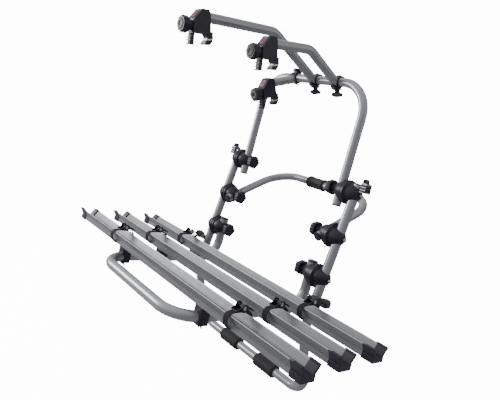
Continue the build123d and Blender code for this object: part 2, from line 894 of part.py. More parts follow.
def arm_points(index):
    """The arm tube's points, from its foot on the top bar to its end."""
    return [Vector(ARM_X[index], HOOP_TOP_Y + y, HOOP_TOP_Z + z) for y, z in ARM_RUNS[index]]


def arm_frame(index):
    """Plane at the arm's end: local x runs out along the arm, local y up across it, normal to -X."""
    start, end = arm_points(index)[-2:]
    return Plane(origin=end, x_dir=end - start, z_dir=(-1, 0, 0))


def arm_at(index, u, w=0.0):
    """Point at u along and w across the arm from its end."""
    return arm_frame(index).from_local_coords((u, w, 0))


def arm_across(index, u, w=0.0):
    """Plane square to the arm at u along and w across."""
    return Plane(origin=arm_at(index, u, w), x_dir=X_AXIS, z_dir=arm_frame(index).x_dir)


def bar_plane(index):
    """Plane across the top bar at an arm."""
    return across(ARM_X[index], HOOP_TOP_Y, HOOP_TOP_Z)


def bar_centre(index):
    return Vector(ARM_X[index], HOOP_TOP_Y, HOOP_TOP_Z)


def spoke(angle):
    """Direction in the YZ plane, in degrees from +Y towards +Z."""
    return Vector(0, cos(radians(angle)), sin(radians(angle)))


def foot_direction(index):
    """Direction in which the arm leaves the top bar."""
    first, second = arm_points(index)[:2]
    return (second - first).normalized()


def foot_start(index):
    """Point on the arm's axis abreast of the top bar's centre, where its tube begins."""
    foot = arm_points(index)[0]
    way = foot_direction(index)
    return foot + way * (bar_centre(index) - foot).dot(way)


def holder_arm(index):
    """Arm tube, coped at its foot to sit on its clamp, its outer end inside the holder."""
    route = [foot_start(index)] + arm_points(index)[1:-1] + [arm_at(index, HOLDER_SOCKET)]
    points = [tuple(point) for point in route]
    bends = [ARM_BEND] * (len(points) - 2)
    tube = bent_tube(points, bends, ARM_R) if bends else straight_tube(points, ARM_R)
    with BuildPart() as arm:
        add(tube)
        with BuildSketch(bar_plane(index)):
            Circle(HOOP_R + CLAMP_WALL + ARM_COPE_GAP)
        extrude(amount=2 * ARM_R, both=True, mode=Mode.SUBTRACT)
    return arm


def arm_clamp(index):
    """Clamp ring on the top bar, with a plug for the arm, a lug for the knob's screw and a tab."""
    centre = bar_centre(index)
    knob = spoke(KNOB_ANGLE[index])
    tab = spoke(TAB_ANGLE[index])
    ring = HOOP_R + CLAMP_WALL
    tab_foot = centre + tab * (ring - 1) + Vector(0, TAB_OFFSET, 0)
    arm_foot = Plane(origin=arm_points(index)[0], z_dir=foot_direction(index))
    with BuildPart() as clamp:
        with BuildSketch(Plane(origin=centre, x_dir=X_AXIS, z_dir=knob)):
            RectangleRounded(2 * LUG_HALF, 2 * LUG_HALF, LUG_HALF / 3)
        extrude(amount=LUG_TOP[index])
        with BuildSketch(Plane(origin=tab_foot, x_dir=X_AXIS, z_dir=tab)):
            RectangleRounded(2 * TAB_HALF, TAB_LENGTH, TAB_THICK)
        extrude(amount=TAB_THICK)
        if index > 0:
            with BuildSketch(Plane(origin=centre, x_dir=X_AXIS, z_dir=spoke(CLIP_ANGLE))):
                RectangleRounded(2 * CLIP_HALF_X, 2 * CLIP_HALF_T, CLIP_HALF_T / 2)
            extrude(amount=CLIP_OUT)
        with BuildSketch(arm_foot):
            Circle(ARM_R + ARM_COPE_GAP)
        extrude(amount=4 * ARM_R, mode=Mode.SUBTRACT)
        with BuildSketch(bar_plane(index)):
            Circle(ring)
        extrude(amount=CLAMP_WIDTH / 2, both=True)
        with BuildSketch(arm_foot):
            Circle(ARM_R - TUBE_WALL - PLUG_PLAY)
        extrude(amount=ring + CLAMP_PLUG)
        with BuildSketch(bar_plane(index)):
            Circle(HOOP_R + CLAMP_RUN)
        extrude(amount=CLAMP_WIDTH, both=True, mode=Mode.SUBTRACT)
        with BuildSketch(Plane(origin=centre + knob * (HOOP_R - 1), z_dir=knob)):
            Circle(CLAMP_SCREW_R + SCREW_RUN)
        extrude(amount=LUG_TOP[index], mode=Mode.SUBTRACT)
    return clamp


def clamp_knob(index):
    """Knob and screw that tighten an arm's clamp: a star on the first arm, a wing on the others."""
    centre = bar_centre(index)
    way = spoke(KNOB_ANGLE[index])
    star = index == 0
    rise = LUG_TOP[index] + PIVOT_GAP
    outline = lobed(STAR_R, STAR_LOBES, STAR_LOBE_R)
    with BuildPart() as knob:
        with BuildSketch(Plane(origin=centre + way * rise, x_dir=X_AXIS, z_dir=way)):
            if star:
                add(outline)
            else:
                Circle(WING_KNOB_R)
        extrude(amount=STAR_HEIGHT if star else WING_KNOB_STEM)
        if not star:
            middle = centre + way * (rise + WING_KNOB_STEM + WING_KNOB_R - WING_SINK)
            with BuildSketch(Plane(origin=middle, x_dir=X_AXIS, z_dir=Vector(*X_AXIS).cross(way))):
                Ellipse(WING_KNOB_HALF, WING_KNOB_R)
            extrude(amount=WING_KNOB_THICK / 2, both=True)
        with BuildSketch(Plane(origin=centre + way * (HOOP_R + PIVOT_GAP), z_dir=way)):
            Circle(CLAMP_SCREW_R)
        extrude(amount=rise - HOOP_R)
    return knob


def holder_body():
    """Side outline of a holder's body as (u, w)."""
    return [
        (JAW_STEM_REAR, HOLDER_TOP),
        (HOLDER_BROW, HOLDER_TOP),
        (HOLDER_FRONT, HOLDER_CHEST_W),
        (HOLDER_FRONT, HOLDER_BOTTOM),
        (HOLDER_REAR - 2, HOLDER_BOTTOM),
        (HOLDER_REAR, CHANNEL_TOP),
        (SLOT_REAR, HOLDER_TOP - HOLDER_SLOPE),
    ]


def holder(index):
    """Holder body with its front finger, the arm's socket, the jaw's channel and the screw's bore."""
    place = arm_frame(index)
    with BuildPart() as body:
        with BuildSketch(place) as side_view:
            with BuildLine():
                Polyline(*holder_body(), close=True)
            make_face()
            fillet(side_view.vertices().sort_by(Axis.Y)[-3:], HOLDER_ROUND)
        extrude(amount=HOLDER_HALF, both=True)
        with BuildSketch(place):
            with Locations(((FINGER_REAR + FINGER_FRONT) / 2, (CHANNEL_TOP + FINGER_TIP) / 2)):
                Rectangle(FINGER_FRONT - FINGER_REAR, CHANNEL_TOP - FINGER_TIP)
            for rib in range(FINGER_RIBS):
                rib_w = FINGER_TIP + FINGER_RIB / 2 + rib * FINGER_RIB_PITCH
                with Locations(((FINGER_REAR + FINGER_FRONT + FINGER_RIB_OUT) / 2, rib_w)):
                    Rectangle(FINGER_FRONT + FINGER_RIB_OUT - FINGER_REAR, FINGER_RIB)
        extrude(amount=FINGER_HALF, both=True)
        with BuildSketch(arm_across(index, HOLDER_FRONT - 1, SCREW_W)):
            Circle(HOLDER_NECK_R)
        extrude(amount=HOLDER_NECK + 1)
        with BuildSketch(arm_across(index, 2 * HOLDER_REAR)):
            Circle(ARM_R + SEAT_PLAY)
        extrude(amount=HOLDER_SOCKET - 2 * HOLDER_REAR + SEAT_PLAY, mode=Mode.SUBTRACT)
        with BuildSketch(place):
            with Locations(((2 * HOLDER_REAR + CHANNEL_END) / 2, (CHANNEL_TOP + HOLDER_BOTTOM) / 2 - 1)):
                Rectangle(CHANNEL_END - 2 * HOLDER_REAR, CHANNEL_TOP - HOLDER_BOTTOM + 2)
        extrude(amount=CHANNEL_HALF, both=True, mode=Mode.SUBTRACT)
        with BuildSketch(place):
            with Locations(((SLOT_REAR + SLOT_FRONT) / 2, (SLOT_TOP + CHANNEL_TOP) / 2 - 1)):
                Rectangle(SLOT_FRONT - SLOT_REAR, SLOT_TOP - CHANNEL_TOP + 2)
        extrude(amount=SLOT_HALF, both=True, mode=Mode.SUBTRACT)
        with BuildSketch(arm_across(index, SLOT_REAR, SCREW_W)):
            Circle(SCREW_R + SCREW_RUN)
        extrude(amount=HOLDER_FRONT + HOLDER_NECK + 2 - SLOT_REAR, mode=Mode.SUBTRACT)
    return body


def jaw_outline(low):
    """Side outline of a jaw's hook as (u, w), its flat top at low."""
    heel, throat, bend, nose = (low - step for step in JAW_STEPS)
    return [
        (JAW_FRONT, low),
        (JAW_THROAT, throat),
        (JAW_THROAT, bend),
        (JAW_FRONT, nose),
        (JAW_FRONT, JAW_TIP),
        (JAW_TIP_REAR, JAW_TIP),
        (JAW_BULGE + JAW_SHOULDER, bend),
        (JAW_BULGE, heel),
        (JAW_BULGE + JAW_SHOULDER, low),
    ]


def holder_jaw(index):
    """Rear jaw: hangs under the holder, its stem is the nut on the holder's screw."""
    place = arm_frame(index)
    low = HOLDER_BOTTOM - JAW_PLAY
    top = CHANNEL_TOP - JAW_PLAY
    rear = JAW_BULGE + JAW_SHOULDER
    with BuildPart() as jaw:
        with BuildSketch(place) as side_view:
            with BuildLine():
                Polyline(*jaw_outline(low), close=True)
            make_face()
            fillet(side_view.vertices().sort_by(Axis.X)[:4], JAW_ROUND)
        extrude(amount=JAW_HALF, both=True)
        with BuildSketch(place):
            with Locations(((rear + JAW_STEM_FRONT) / 2, (low + top) / 2)):
                Rectangle(JAW_STEM_FRONT - rear, top - low)
        extrude(amount=CHANNEL_HALF - JAW_PLAY, both=True)
        with BuildSketch(place):
            with Locations(((JAW_STEM_REAR + JAW_STEM_FRONT) / 2, (low + SLOT_TOP) / 2 - JAW_PLAY)):
                Rectangle(JAW_STEM_FRONT - JAW_STEM_REAR, SLOT_TOP - low - 2 * JAW_PLAY)
        extrude(amount=SLOT_HALF - JAW_PLAY, both=True)
        with BuildSketch(arm_across(index, JAW_STEM_REAR - 1, SCREW_W)):
            Circle(SCREW_R + SCREW_RUN)
        extrude(amount=JAW_STEM_FRONT - JAW_STEM_REAR + 2, mode=Mode.SUBTRACT)
    return jaw


def holder_knob(index):
    """Knob with its screw, which turns in the holder's neck and draws the jaw in."""
    base = HOLDER_FRONT + HOLDER_NECK + PIVOT_GAP
    outline = lobed(HOLDER_KNOB_R, HOLDER_KNOB_LOBES, HOLDER_KNOB_LOBE_R)
    with BuildPart() as knob:
        with BuildSketch(arm_across(index, base, SCREW_W)):
            add(outline)
        extrude(amount=HOLDER_KNOB_LENGTH)
        outer = knob.faces().sort_by(Axis(arm_at(index, 0), arm_frame(index).x_dir))[-1]
        fillet(outer.edges(), HOLDER_KNOB_ROUND)
        with BuildSketch(arm_across(index, SCREW_REAR, SCREW_W)):
            Circle(SCREW_R)
        extrude(amount=base - SCREW_REAR + 1)
    return knob


def tray_x():
    """X of the upper tray's inner face, clear of the upper pivot's bell."""
    return FRAME_HALF + FRAME_R + BELT_CLEAR


def belt_brackets():
    """Upper steel trays beside the leg tops and lower hook plates on the legs' fronts."""
    mid_z = (BELT_LOW_Z + BELT_HIGH_Z) / 2
    mid_y = leg_y(mid_z)
    with BuildPart() as brackets:
        with BuildSketch(across(tray_x(), mid_y, mid_z)):
            Rectangle(BELT_WIDTH, BELT_HIGH_Z - BELT_LOW_Z)
        extrude(amount=BELT_DEPTH)
        with BuildSketch(across(tray_x() + BELT_PLATE, mid_y, mid_z + BELT_PLATE)):
            Rectangle(BELT_WIDTH - 2 * BELT_PLATE, BELT_HIGH_Z - BELT_LOW_Z)
        extrude(amount=BELT_DEPTH, mode=Mode.SUBTRACT)
        hook_y = leg_y(HOOK_Z) - FRAME_R - 2 * SEAT_PLAY - BELT_PLATE
        with BuildSketch(Plane(origin=(FRAME_HALF, hook_y, HOOK_Z), x_dir=X_AXIS, z_dir=(0, -1, 0))):
            with BuildLine():
                Polyline(
                    (-HOOK_LENGTH / 2, HOOK_HEIGHT / 2),
                    (HOOK_LENGTH / 2, HOOK_HEIGHT / 2),
                    (HOOK_LENGTH / 2, -HOOK_HEIGHT),
                    (HOOK_LENGTH / 2 - HOOK_HEIGHT / 2, -HOOK_HEIGHT),
                    (HOOK_LENGTH / 2 - HOOK_HEIGHT / 2, -HOOK_HEIGHT / 2),
                    (-HOOK_LENGTH / 2, -HOOK_HEIGHT / 2),
                    close=True,
                )
            make_face()
        extrude(amount=BELT_PLATE)
        mirror(about=Plane.YZ)
    return brackets


def belt_rolls():
    """Folded belts: in the upper trays and outside the lower legs, where a tongue crosses the hook plate."""
    mid_y = leg_y((BELT_LOW_Z + BELT_HIGH_Z) / 2)
    width = BELT_WIDTH - 2 * BELT_PLATE - 2 * SEAT_PLAY
    stack_low = BELT_LOW_Z + BELT_PLATE + SEAT_PLAY
    stack_x = tray_x() + BELT_PLATE + SEAT_PLAY
    front_y = leg_y(HOOK_Z) - FRAME_R - 4 * SEAT_PLAY - 2 * BELT_PLATE
    roll_y = front_y - BELT_THICK + ROLL_DEPTH / 2
    roll_x = FRAME_HALF + HOOK_LENGTH / 2 + 2 * SEAT_PLAY + BELT_THICK
    with BuildPart() as rolls:
        with BuildSketch(Plane(origin=(stack_x, mid_y, stack_low), x_dir=X_AXIS, z_dir=(0, -1, 0))):
            with BuildLine():
                Polyline(
                    (0, 0),
                    (BELT_STACK, 0),
                    (BELT_STACK + BELT_STACK_BULGE, BELT_STACK_HEIGHT / 2),
                    (BELT_STACK + BELT_STACK_BULGE / 2, BELT_STACK_HEIGHT),
                    (0, BELT_STACK_HEIGHT),
                    close=True,
                )
            make_face()
            with Locations((BELT_ROLL_R, BELT_STACK_HEIGHT + BELT_ROLL_R - ROLL_SINK)):
                Circle(BELT_ROLL_R)
        extrude(amount=width / 2, both=True)
        with BuildSketch(Plane(origin=(roll_x, roll_y, HOOK_Z), x_dir=X_AXIS, z_dir=(0, -1, 0))):
            with Locations((ROLL_WIDTH / 2, 0)):
                RectangleRounded(ROLL_WIDTH, ROLL_HEIGHT, ROLL_ROUND)
            with Locations((BAND_SINK - BELT_THICK / 2, 0)):
                Rectangle(BELT_THICK, BELT_BAND)
        extrude(amount=ROLL_DEPTH / 2, both=True)
        tongue = roll_x + ROLL_ROUND - FRAME_HALF
        tongue_x = FRAME_HALF + tongue / 2
        with BuildSketch(Plane(origin=(tongue_x, front_y, HOOK_Z), x_dir=X_AXIS, z_dir=(0, -1, 0))):
            Rectangle(tongue, BELT_BAND)
        extrude(amount=BELT_THICK)
        mirror(about=Plane.YZ)
    return rolls


def write_parts():
    """Build every sub-part and write one file for each."""
    os.makedirs("parts", exist_ok=True)
    finish(main_frame(), "main_frame")
    finish(upper_hoop(), "upper_hoop")
    finish(mid_hoop(), "mid_hoop")
    finish(platform_frame(), "platform_frame")
    finish(end_plugs(frame_points(), FRAME_R), "main_frame_plugs")
    finish(end_plugs(hoop_points(), HOOP_R), "hoop_plugs")
    finish(end_plugs(mid_points(), HOOP_R), "mid_plugs")
    finish(end_plugs(platform_points(), PLATFORM_R), "platform_plugs")
    finish(lower_sleeves(), "lower_sleeves")
    finish(mid_sleeve(), "mid_sleeve")
    finish(frame_discs(), "frame_discs")
    finish(pivot_bolts(), "pivot_bolts")
    finish(pivot_nuts(), "pivot_nuts")
    for name in PIVOT_Z:
        finish(inner_discs(name), f"{name}_discs")
        finish(pivot_knob(name, -1), f"{name}_knob_left")
        finish(pivot_knob(name, 1), f"{name}_knob_right")
    for row in range(RAIL_COUNT):
        finish(rail(row), f"rail_{row + 1}")
    finish(rail_end_caps(), "rail_end_caps")
    finish(rail_blocks(), "rail_blocks")
    finish(rail_bolts(), "rail_bolts")
    finish(rail_wing_nuts(), "rail_wing_nuts")
    finish(strap_bands(), "strap_bands")
    finish(strap_buckles(), "strap_buckles")
    for row, x in strap_places():
        side = "left" if x < 0 else "right"
        finish(strap_lever(row, x), f"strap_lever_{row + 1}_{side}")
    for index in range(len(ARM_X)):
        finish(holder_arm(index), f"arm_{index + 1}")
        finish(arm_clamp(index), f"arm_clamp_{index + 1}")
        finish(clamp_knob(index), f"clamp_knob_{index + 1}")
        finish(holder(index), f"holder_{index + 1}")
        finish(holder_jaw(index), f"holder_jaw_{index + 1}")
        finish(holder_knob(index), f"holder_knob_{index + 1}")
    finish(belt_brackets(), "belt_brackets")
    finish(belt_rolls(), "belt_rolls")


write_parts()
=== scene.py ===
import json
import math

import bpy
import numpy as np
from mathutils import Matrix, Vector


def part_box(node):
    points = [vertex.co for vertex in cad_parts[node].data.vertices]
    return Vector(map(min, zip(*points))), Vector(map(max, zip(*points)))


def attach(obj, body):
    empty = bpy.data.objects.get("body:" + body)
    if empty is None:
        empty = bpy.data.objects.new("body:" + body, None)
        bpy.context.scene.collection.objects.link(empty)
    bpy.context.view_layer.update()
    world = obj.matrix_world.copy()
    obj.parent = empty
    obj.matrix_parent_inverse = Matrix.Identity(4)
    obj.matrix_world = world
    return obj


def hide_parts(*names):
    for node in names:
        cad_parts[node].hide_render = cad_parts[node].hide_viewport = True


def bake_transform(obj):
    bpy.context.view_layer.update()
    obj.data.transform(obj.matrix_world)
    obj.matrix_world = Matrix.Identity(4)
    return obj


bl_info = {
    "name": "Rear Bike Carrier",
    "version": (1, 0, 0),
    "blender": (4, 5, 0),
    "location": "View3D > Sidebar > Carrier",
    "description": "Finishes, soft sleeves, straps and small trim of a folding rear bike carrier",
    "category": "Object",
}

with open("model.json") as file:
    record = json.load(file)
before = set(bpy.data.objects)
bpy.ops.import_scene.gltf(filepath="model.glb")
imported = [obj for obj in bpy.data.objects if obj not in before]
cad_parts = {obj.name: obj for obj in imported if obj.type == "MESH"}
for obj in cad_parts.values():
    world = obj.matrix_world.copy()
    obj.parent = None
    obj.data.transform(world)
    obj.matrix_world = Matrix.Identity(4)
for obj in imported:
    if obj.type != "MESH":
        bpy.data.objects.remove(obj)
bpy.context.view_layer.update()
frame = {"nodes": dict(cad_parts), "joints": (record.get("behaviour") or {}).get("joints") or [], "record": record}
NODES = frame["nodes"]

# Lengths inside the functions are in millimetres; meshes are written in metres.
MM = 0.001
X = np.array([1.0, 0.0, 0.0])
Y = np.array([0.0, 1.0, 0.0])
Z = np.array([0.0, 0.0, 1.0])
SIDES = (-1, 1)
ROWS = (1, 2, 3)

# Play between a soft piece's bore and its tube, and how far a holder's knob is below its arm's line
BORE_PLAY = 0.15
KNOB_DROP = 31

# In metres: where the painted highlight on the rails' lips begins, and the pitches of the weaves
RAIL_LIP_HEIGHT = 0.3690
RAIL_LIP_FADE = 0.0006
RIB_PITCH = 0.0032
YARN_PITCH = 0.0016
TOOTH_PITCH = 0.0045
TOOTH_WAVE = 0.02

# A mix node's colour sockets: the two that go in and the one that comes out
MIX_FIRST, MIX_SECOND, MIX_RESULT = 6, 7, 2


# Where things are in the frame


def joint(name):
    """Place in millimetres and unit axis of one of the frame's joints."""
    found = next(j for j in frame["joints"] if j["name"] == name)
    axis = np.array(found["axis"], float)
    return np.array(found["pos_m"]) / MM, axis / np.linalg.norm(axis)


def middle(node):
    """Centre and half sizes of a node's box, in millimetres."""
    low, high = (np.array(corner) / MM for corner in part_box(node))
    return (low + high) / 2, (high - low) / 2


def arm_axes(row):
    """End of an arm's line, the direction out along it and the direction up across it."""
    place, out = joint(f"holder_knob_{row}_turn")
    up = np.array([0.0, out[2], -out[1]])
    return place + KNOB_DROP * up, out, up


# Surfaces


def distances(points):
    """Length along a closed row of points, from its first point back to it."""
    steps = np.linalg.norm(np.roll(points, -1, 0) - points, axis=1)
    return np.concatenate([[0], np.cumsum(steps)])


def shell(points, wrap_rows=False):
    """Closed skin of a grid of points: quads between neighbours, its columns a ring, and a flat face
    at each end where the rows are open. The faces are turned outwards by the sign of the volume, and
    each corner is marked with its length along the rows and along the columns."""
    rows, columns = points.shape[:2]
    i, j = np.mgrid[:rows if wrap_rows else rows - 1, :columns]
    next_i, next_j = (i + 1) % rows, (j + 1) % columns
    here, there = i * columns, next_i * columns
    quads = np.stack([here + j, here + next_j, there + next_j, there + j], -1)
    along, around = distances(points[:, 0]), distances(points[0])
    marks = np.stack([
        np.stack([along[i], along[i], along[i + 1], along[i + 1]], -1),
        np.stack([around[j], around[j + 1], around[j + 1], around[j]], -1)], -1) * MM
    quads, marks = quads.reshape(-1, 4), marks.reshape(-1, 4, 2)
    ring = np.arange(columns)
    ends = [] if wrap_rows else [ring[::-1], (rows - 1) * columns + ring]
    flat = points.reshape(-1, 3)
    about = flat - flat.mean(0)
    a, b, c, d = (about[quads[:, corner]] for corner in range(4))
    volume = np.sum(a * np.cross(b, c)) + np.sum(a * np.cross(c, d))
    for end in ends:
        edge = about[end]
        volume += edge.mean(0) @ np.cross(edge, np.roll(edge, -1, 0)).sum(0)
    if volume < 0:
        quads, marks = quads[:, ::-1], marks[:, ::-1]
        ends = [end[::-1] for end in ends]
    return flat, quads, marks, ends


def swept(path, profile, side, closed=False):
    """Carry a profile of (across, out) pairs along a path: across runs along side, and out along the
    path's direction crossed with side."""
    if closed:
        run = np.roll(path, -1, 0) - np.roll(path, 1, 0)
    else:
        run = np.gradient(path, axis=0)
    out = np.cross(run, side)
    out /= np.linalg.norm(out, axis=1, keepdims=True)
    points = path[:, None] + profile[None, :, :1] * side + profile[None, :, 1:] * out[:, None]
    return shell(points, wrap_rows=closed)


def oval(half_across, half_out, power=2.0, count=24):
    """Superellipse: each cosine and sine keeps its sign and is raised to two over the power."""
    turn = np.linspace(0, 2 * math.pi, count, endpoint=False)
    c, s = np.cos(turn), np.sin(turn)
    return np.stack([half_across * np.sign(c) * np.abs(c) ** (2 / power),
                     half_out * np.sign(s) * np.abs(s) ** (2 / power)], -1)


def lathed(profile, centre, axis, turns=48, flutes=0, depth=0.0, wrap=False):
    """Turn a profile of (along, radius) pairs round an axis. Flutes are cut in by depth where a cosine
    is low, by the share that each pair's third number gives."""
    first = np.cross(axis, Z if abs(axis[2]) < 0.9 else X)
    first /= np.linalg.norm(first)
    second = np.cross(axis, first)
    turn = np.linspace(0, 2 * math.pi, turns, endpoint=False)
    profile = np.asarray(profile, float)
    radius = np.repeat(profile[:, 1:2], turns, 1)
    if flutes:
        radius -= depth * profile[:, 2:3] * (0.5 - 0.5 * np.cos(flutes * turn))
    ray = np.cos(turn)[:, None] * first + np.sin(turn)[:, None] * second
    points = centre + profile[:, :1, None] * axis + radius[..., None] * ray
    return shell(points, wrap_rows=wrap)


def block(centre, axes, halves, edge, power=7.0, count=40):
    """Rounded block: a superellipse in the first two axes, drawn in by a quarter circle over the last
    edge of its length along the third."""
    turn = np.linspace(0, math.pi / 2, 5)
    inset = edge * (1 - np.sin(turn))
    reach = halves[2] - edge * (1 - np.cos(turn))[::-1]
    inset = np.concatenate([inset, inset[::-1]])
    reach = np.concatenate([-halves[2] + edge * (1 - np.cos(turn)), reach])
    unit = oval(1, 1, power, count)
    first, second, third = (np.asarray(axis, float) for axis in axes)
    wide = ((halves[0] - inset)[:, None] * unit[:, 0])[..., None] * first
    high = ((halves[1] - inset)[:, None] * unit[:, 1])[..., None] * second
    return shell(centre + wide + high + reach[:, None, None] * third)


def eased(corners, reach, closed=True, rounds=3):
    """Round a run of corners: each gives way to two points up to reach from it, and then every new
    corner is cut at its quarter points, rounds times over."""
    corners = np.asarray(corners, float)
    before, after = np.roll(corners, 1, 0), np.roll(corners, -1, 0)
    pair = []
    for other in (before, after):
        step = other - corners
        length = np.linalg.norm(step, axis=1, keepdims=True)
        pair.append(corners + step / length * np.minimum(reach, 0.45 * length))
    path = np.stack(pair, 1).reshape(-1, corners.shape[1])
    if not closed:
        path = np.concatenate([corners[:1], path[2:-2], corners[-1:]])
    for _ in range(rounds):
        ahead = np.roll(path, -1, 0) if closed else path[1:]
        here = path if closed else path[:-1]
        cut = np.stack([0.75 * here + 0.25 * ahead, 0.25 * here + 0.75 * ahead], 1).reshape(-1, path.shape[1])
        path = cut if closed else np.concatenate([path[:1], cut, path[-1:]])
    return path


def piece(name, shells, body, finish, sharp=35):
    """One object of one or more shells, at the origin, that rides on a body; None leaves it free."""
    mesh = bpy.data.meshes.new(name)
    points, faces, marks, start = [], [], [], 0
    for flat, quads, uvs, ends in shells:
        points.append(flat * MM)
        faces += (quads + start).tolist() + [(end + start).tolist() for end in ends]
        marks += [uvs.reshape(-1, 2)] + [np.zeros((len(end), 2)) for end in ends]
        start += len(flat)
    mesh.from_pydata(np.concatenate(points), [], faces)
    mesh.uv_layers.new(name="UVMap").data.foreach_set("uv", np.concatenate(marks).ravel())
    mesh.polygons.foreach_set("use_smooth", [True] * len(faces))
    mesh.set_sharp_from_angle(angle=math.radians(sharp))
    mesh.materials.append(finish)
    made = bpy.data.objects.new(name, mesh)
    bpy.context.scene.collection.objects.link(made)
    if body:
        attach(made, body)
    return made


# Finishes


def new_finish(name, colour, metallic, roughness):
    """Material with a principled shader of one colour, and its object coordinates."""
    finish = bpy.data.materials.new(name)
    finish.use_nodes = True
    nodes = finish.node_tree.nodes
    shader = nodes["Principled BSDF"]
    shader.inputs["Base Color"].default_value = (*colour, 1)
    shader.inputs["Metallic"].default_value = metallic
    shader.inputs["Roughness"].default_value = roughness
    return finish, nodes, finish.node_tree.links, shader, nodes.new("ShaderNodeTexCoord").outputs["Object"]


def noise(nodes, links, source, scale, detail=3.0, stretch=None):
    """Noise of object coordinates, drawn out along some axes where stretch says so."""
    if stretch:
        mapping = nodes.new("ShaderNodeMapping")
        mapping.inputs["Scale"].default_value = stretch
        links.new(source, mapping.inputs["Vector"])
        source = mapping.outputs["Vector"]
    made = nodes.new("ShaderNodeTexNoise")
    made.inputs["Scale"].default_value = scale
    made.inputs["Detail"].default_value = detail
    links.new(source, made.inputs["Vector"])
    return made.outputs["Fac"]


def tint(nodes, links, shader, height, dark, light):
    """Base colour that runs from dark to light over the middle of a height."""
    ramp = nodes.new("ShaderNodeValToRGB")
    ramp.color_ramp.elements[0].position = 0.3
    ramp.color_ramp.elements[1].position = 0.7
    ramp.color_ramp.elements[0].color = (*dark, 1)
    ramp.color_ramp.elements[1].color = (*light, 1)
    links.new(height, ramp.inputs["Fac"])
    links.new(ramp.outputs["Color"], shader.inputs["Base Color"])


def gloss(nodes, links, shader, height, low, high):
    """Roughness that runs from low to high with a height."""
    spread = nodes.new("ShaderNodeMapRange")
    spread.inputs["To Min"].default_value = low
    spread.inputs["To Max"].default_value = high
    links.new(height, spread.inputs["Value"])
    links.new(spread.outputs["Result"], shader.inputs["Roughness"])


def relief(nodes, links, shader, height, depth, strength=1.0):
    """Bump whose height is depth metres from its lows to its tops."""
    bump = nodes.new("ShaderNodeBump")
    bump.inputs["Distance"].default_value = depth
    bump.inputs["Strength"].default_value = strength
    links.new(height, bump.inputs["Height"])
    links.new(bump.outputs["Normal"], shader.inputs["Normal"])


def shade(colour, share):
    """The colour with each channel multiplied by share, at most 1."""
    return tuple(min(1.0, channel * share) for channel in colour)


def grained(name, colour, metallic, low, high, grain, depth, spread=0.08, stretch=None, sheen=0.5):
    """Finish whose colour and gloss drift over centimetres, or in lines where stretch draws them out, with
    a fine grain in relief."""
    finish, nodes, links, shader, place = new_finish(name, colour, metallic, (low + high) / 2)
    shader.inputs["Specular IOR Level"].default_value = sheen
    drift = noise(nodes, links, place, 1, 2, stretch) if stretch else noise(nodes, links, place, 9, 4)
    tint(nodes, links, shader, drift, shade(colour, 1 - spread), shade(colour, 1 + spread))
    gloss(nodes, links, shader, noise(nodes, links, place, 60), low, high)
    relief(nodes, links, shader, noise(nodes, links, place, grain, 2, stretch), depth)
    return finish


def drawn(name, colour, lip_height):
    """Drawn alloy: fine lines along it, with a highlight painted on its lips above a height in metres."""
    finish = grained(name, colour, 0.4, 0.42, 0.55, 1, 0.00012, 0.16, (1.2, 320, 320))
    nodes, links = finish.node_tree.nodes, finish.node_tree.links
    shader = nodes["Principled BSDF"]
    place = nodes.new("ShaderNodeTexCoord").outputs["Object"]
    split = nodes.new("ShaderNodeSeparateXYZ")
    links.new(place, split.inputs["Vector"])
    # Painted highlight: above the lip height the colour is made 2.6 times brighter, standing in for the light on
    # the lips.
    lip_highlight = nodes.new("ShaderNodeMapRange")
    lip_highlight.inputs["From Min"].default_value = lip_height
    lip_highlight.inputs["From Max"].default_value = lip_height + RAIL_LIP_FADE
    links.new(split.outputs["Z"], lip_highlight.inputs["Value"])
    blend = nodes.new("ShaderNodeMix")
    blend.data_type = "RGBA"
    lined = shader.inputs["Base Color"].links[0].from_socket
    links.new(lip_highlight.outputs["Result"], blend.inputs["Factor"])
    links.new(lined, blend.inputs[MIX_FIRST])
    blend.inputs[MIX_SECOND].default_value = (*shade(colour, 2.6), 1)
    links.new(blend.outputs[MIX_RESULT], shader.inputs["Base Color"])
    return finish


def woven(name, colour, pitch_along, pitch_across):
    """Webbing: ribs across the band and yarns along it, from the piece's own map in metres."""
    finish, nodes, links, shader, _ = new_finish(name, colour, 0.0, 0.78)
    shader.inputs["Specular IOR Level"].default_value = 0.3
    split = nodes.new("ShaderNodeSeparateXYZ")
    chart = nodes.new("ShaderNodeUVMap")
    chart.uv_map = "UVMap"
    links.new(chart.outputs["UV"], split.inputs["Vector"])
    waves = []
    for axis, pitch in (("X", pitch_along), ("Y", pitch_across)):
        phase = nodes.new("ShaderNodeMath")
        phase.operation = "MULTIPLY"
        phase.inputs[1].default_value = 2 * math.pi / pitch
        links.new(split.outputs[axis], phase.inputs[0])
        wave = nodes.new("ShaderNodeMath")
        wave.operation = "SINE"
        links.new(phase.outputs[0], wave.inputs[0])
        waves.append(wave)
    both = nodes.new("ShaderNodeMath")
    both.operation = "MULTIPLY_ADD"
    both.inputs[1].default_value = 0.4
    links.new(waves[1].outputs[0], both.inputs[0])
    links.new(waves[0].outputs[0], both.inputs[2])
    tint(nodes, links, shader, both.outputs[0], shade(colour, 0.6), shade(colour, 1.4))
    relief(nodes, links, shader, both.outputs[0], 0.0003)
    return finish


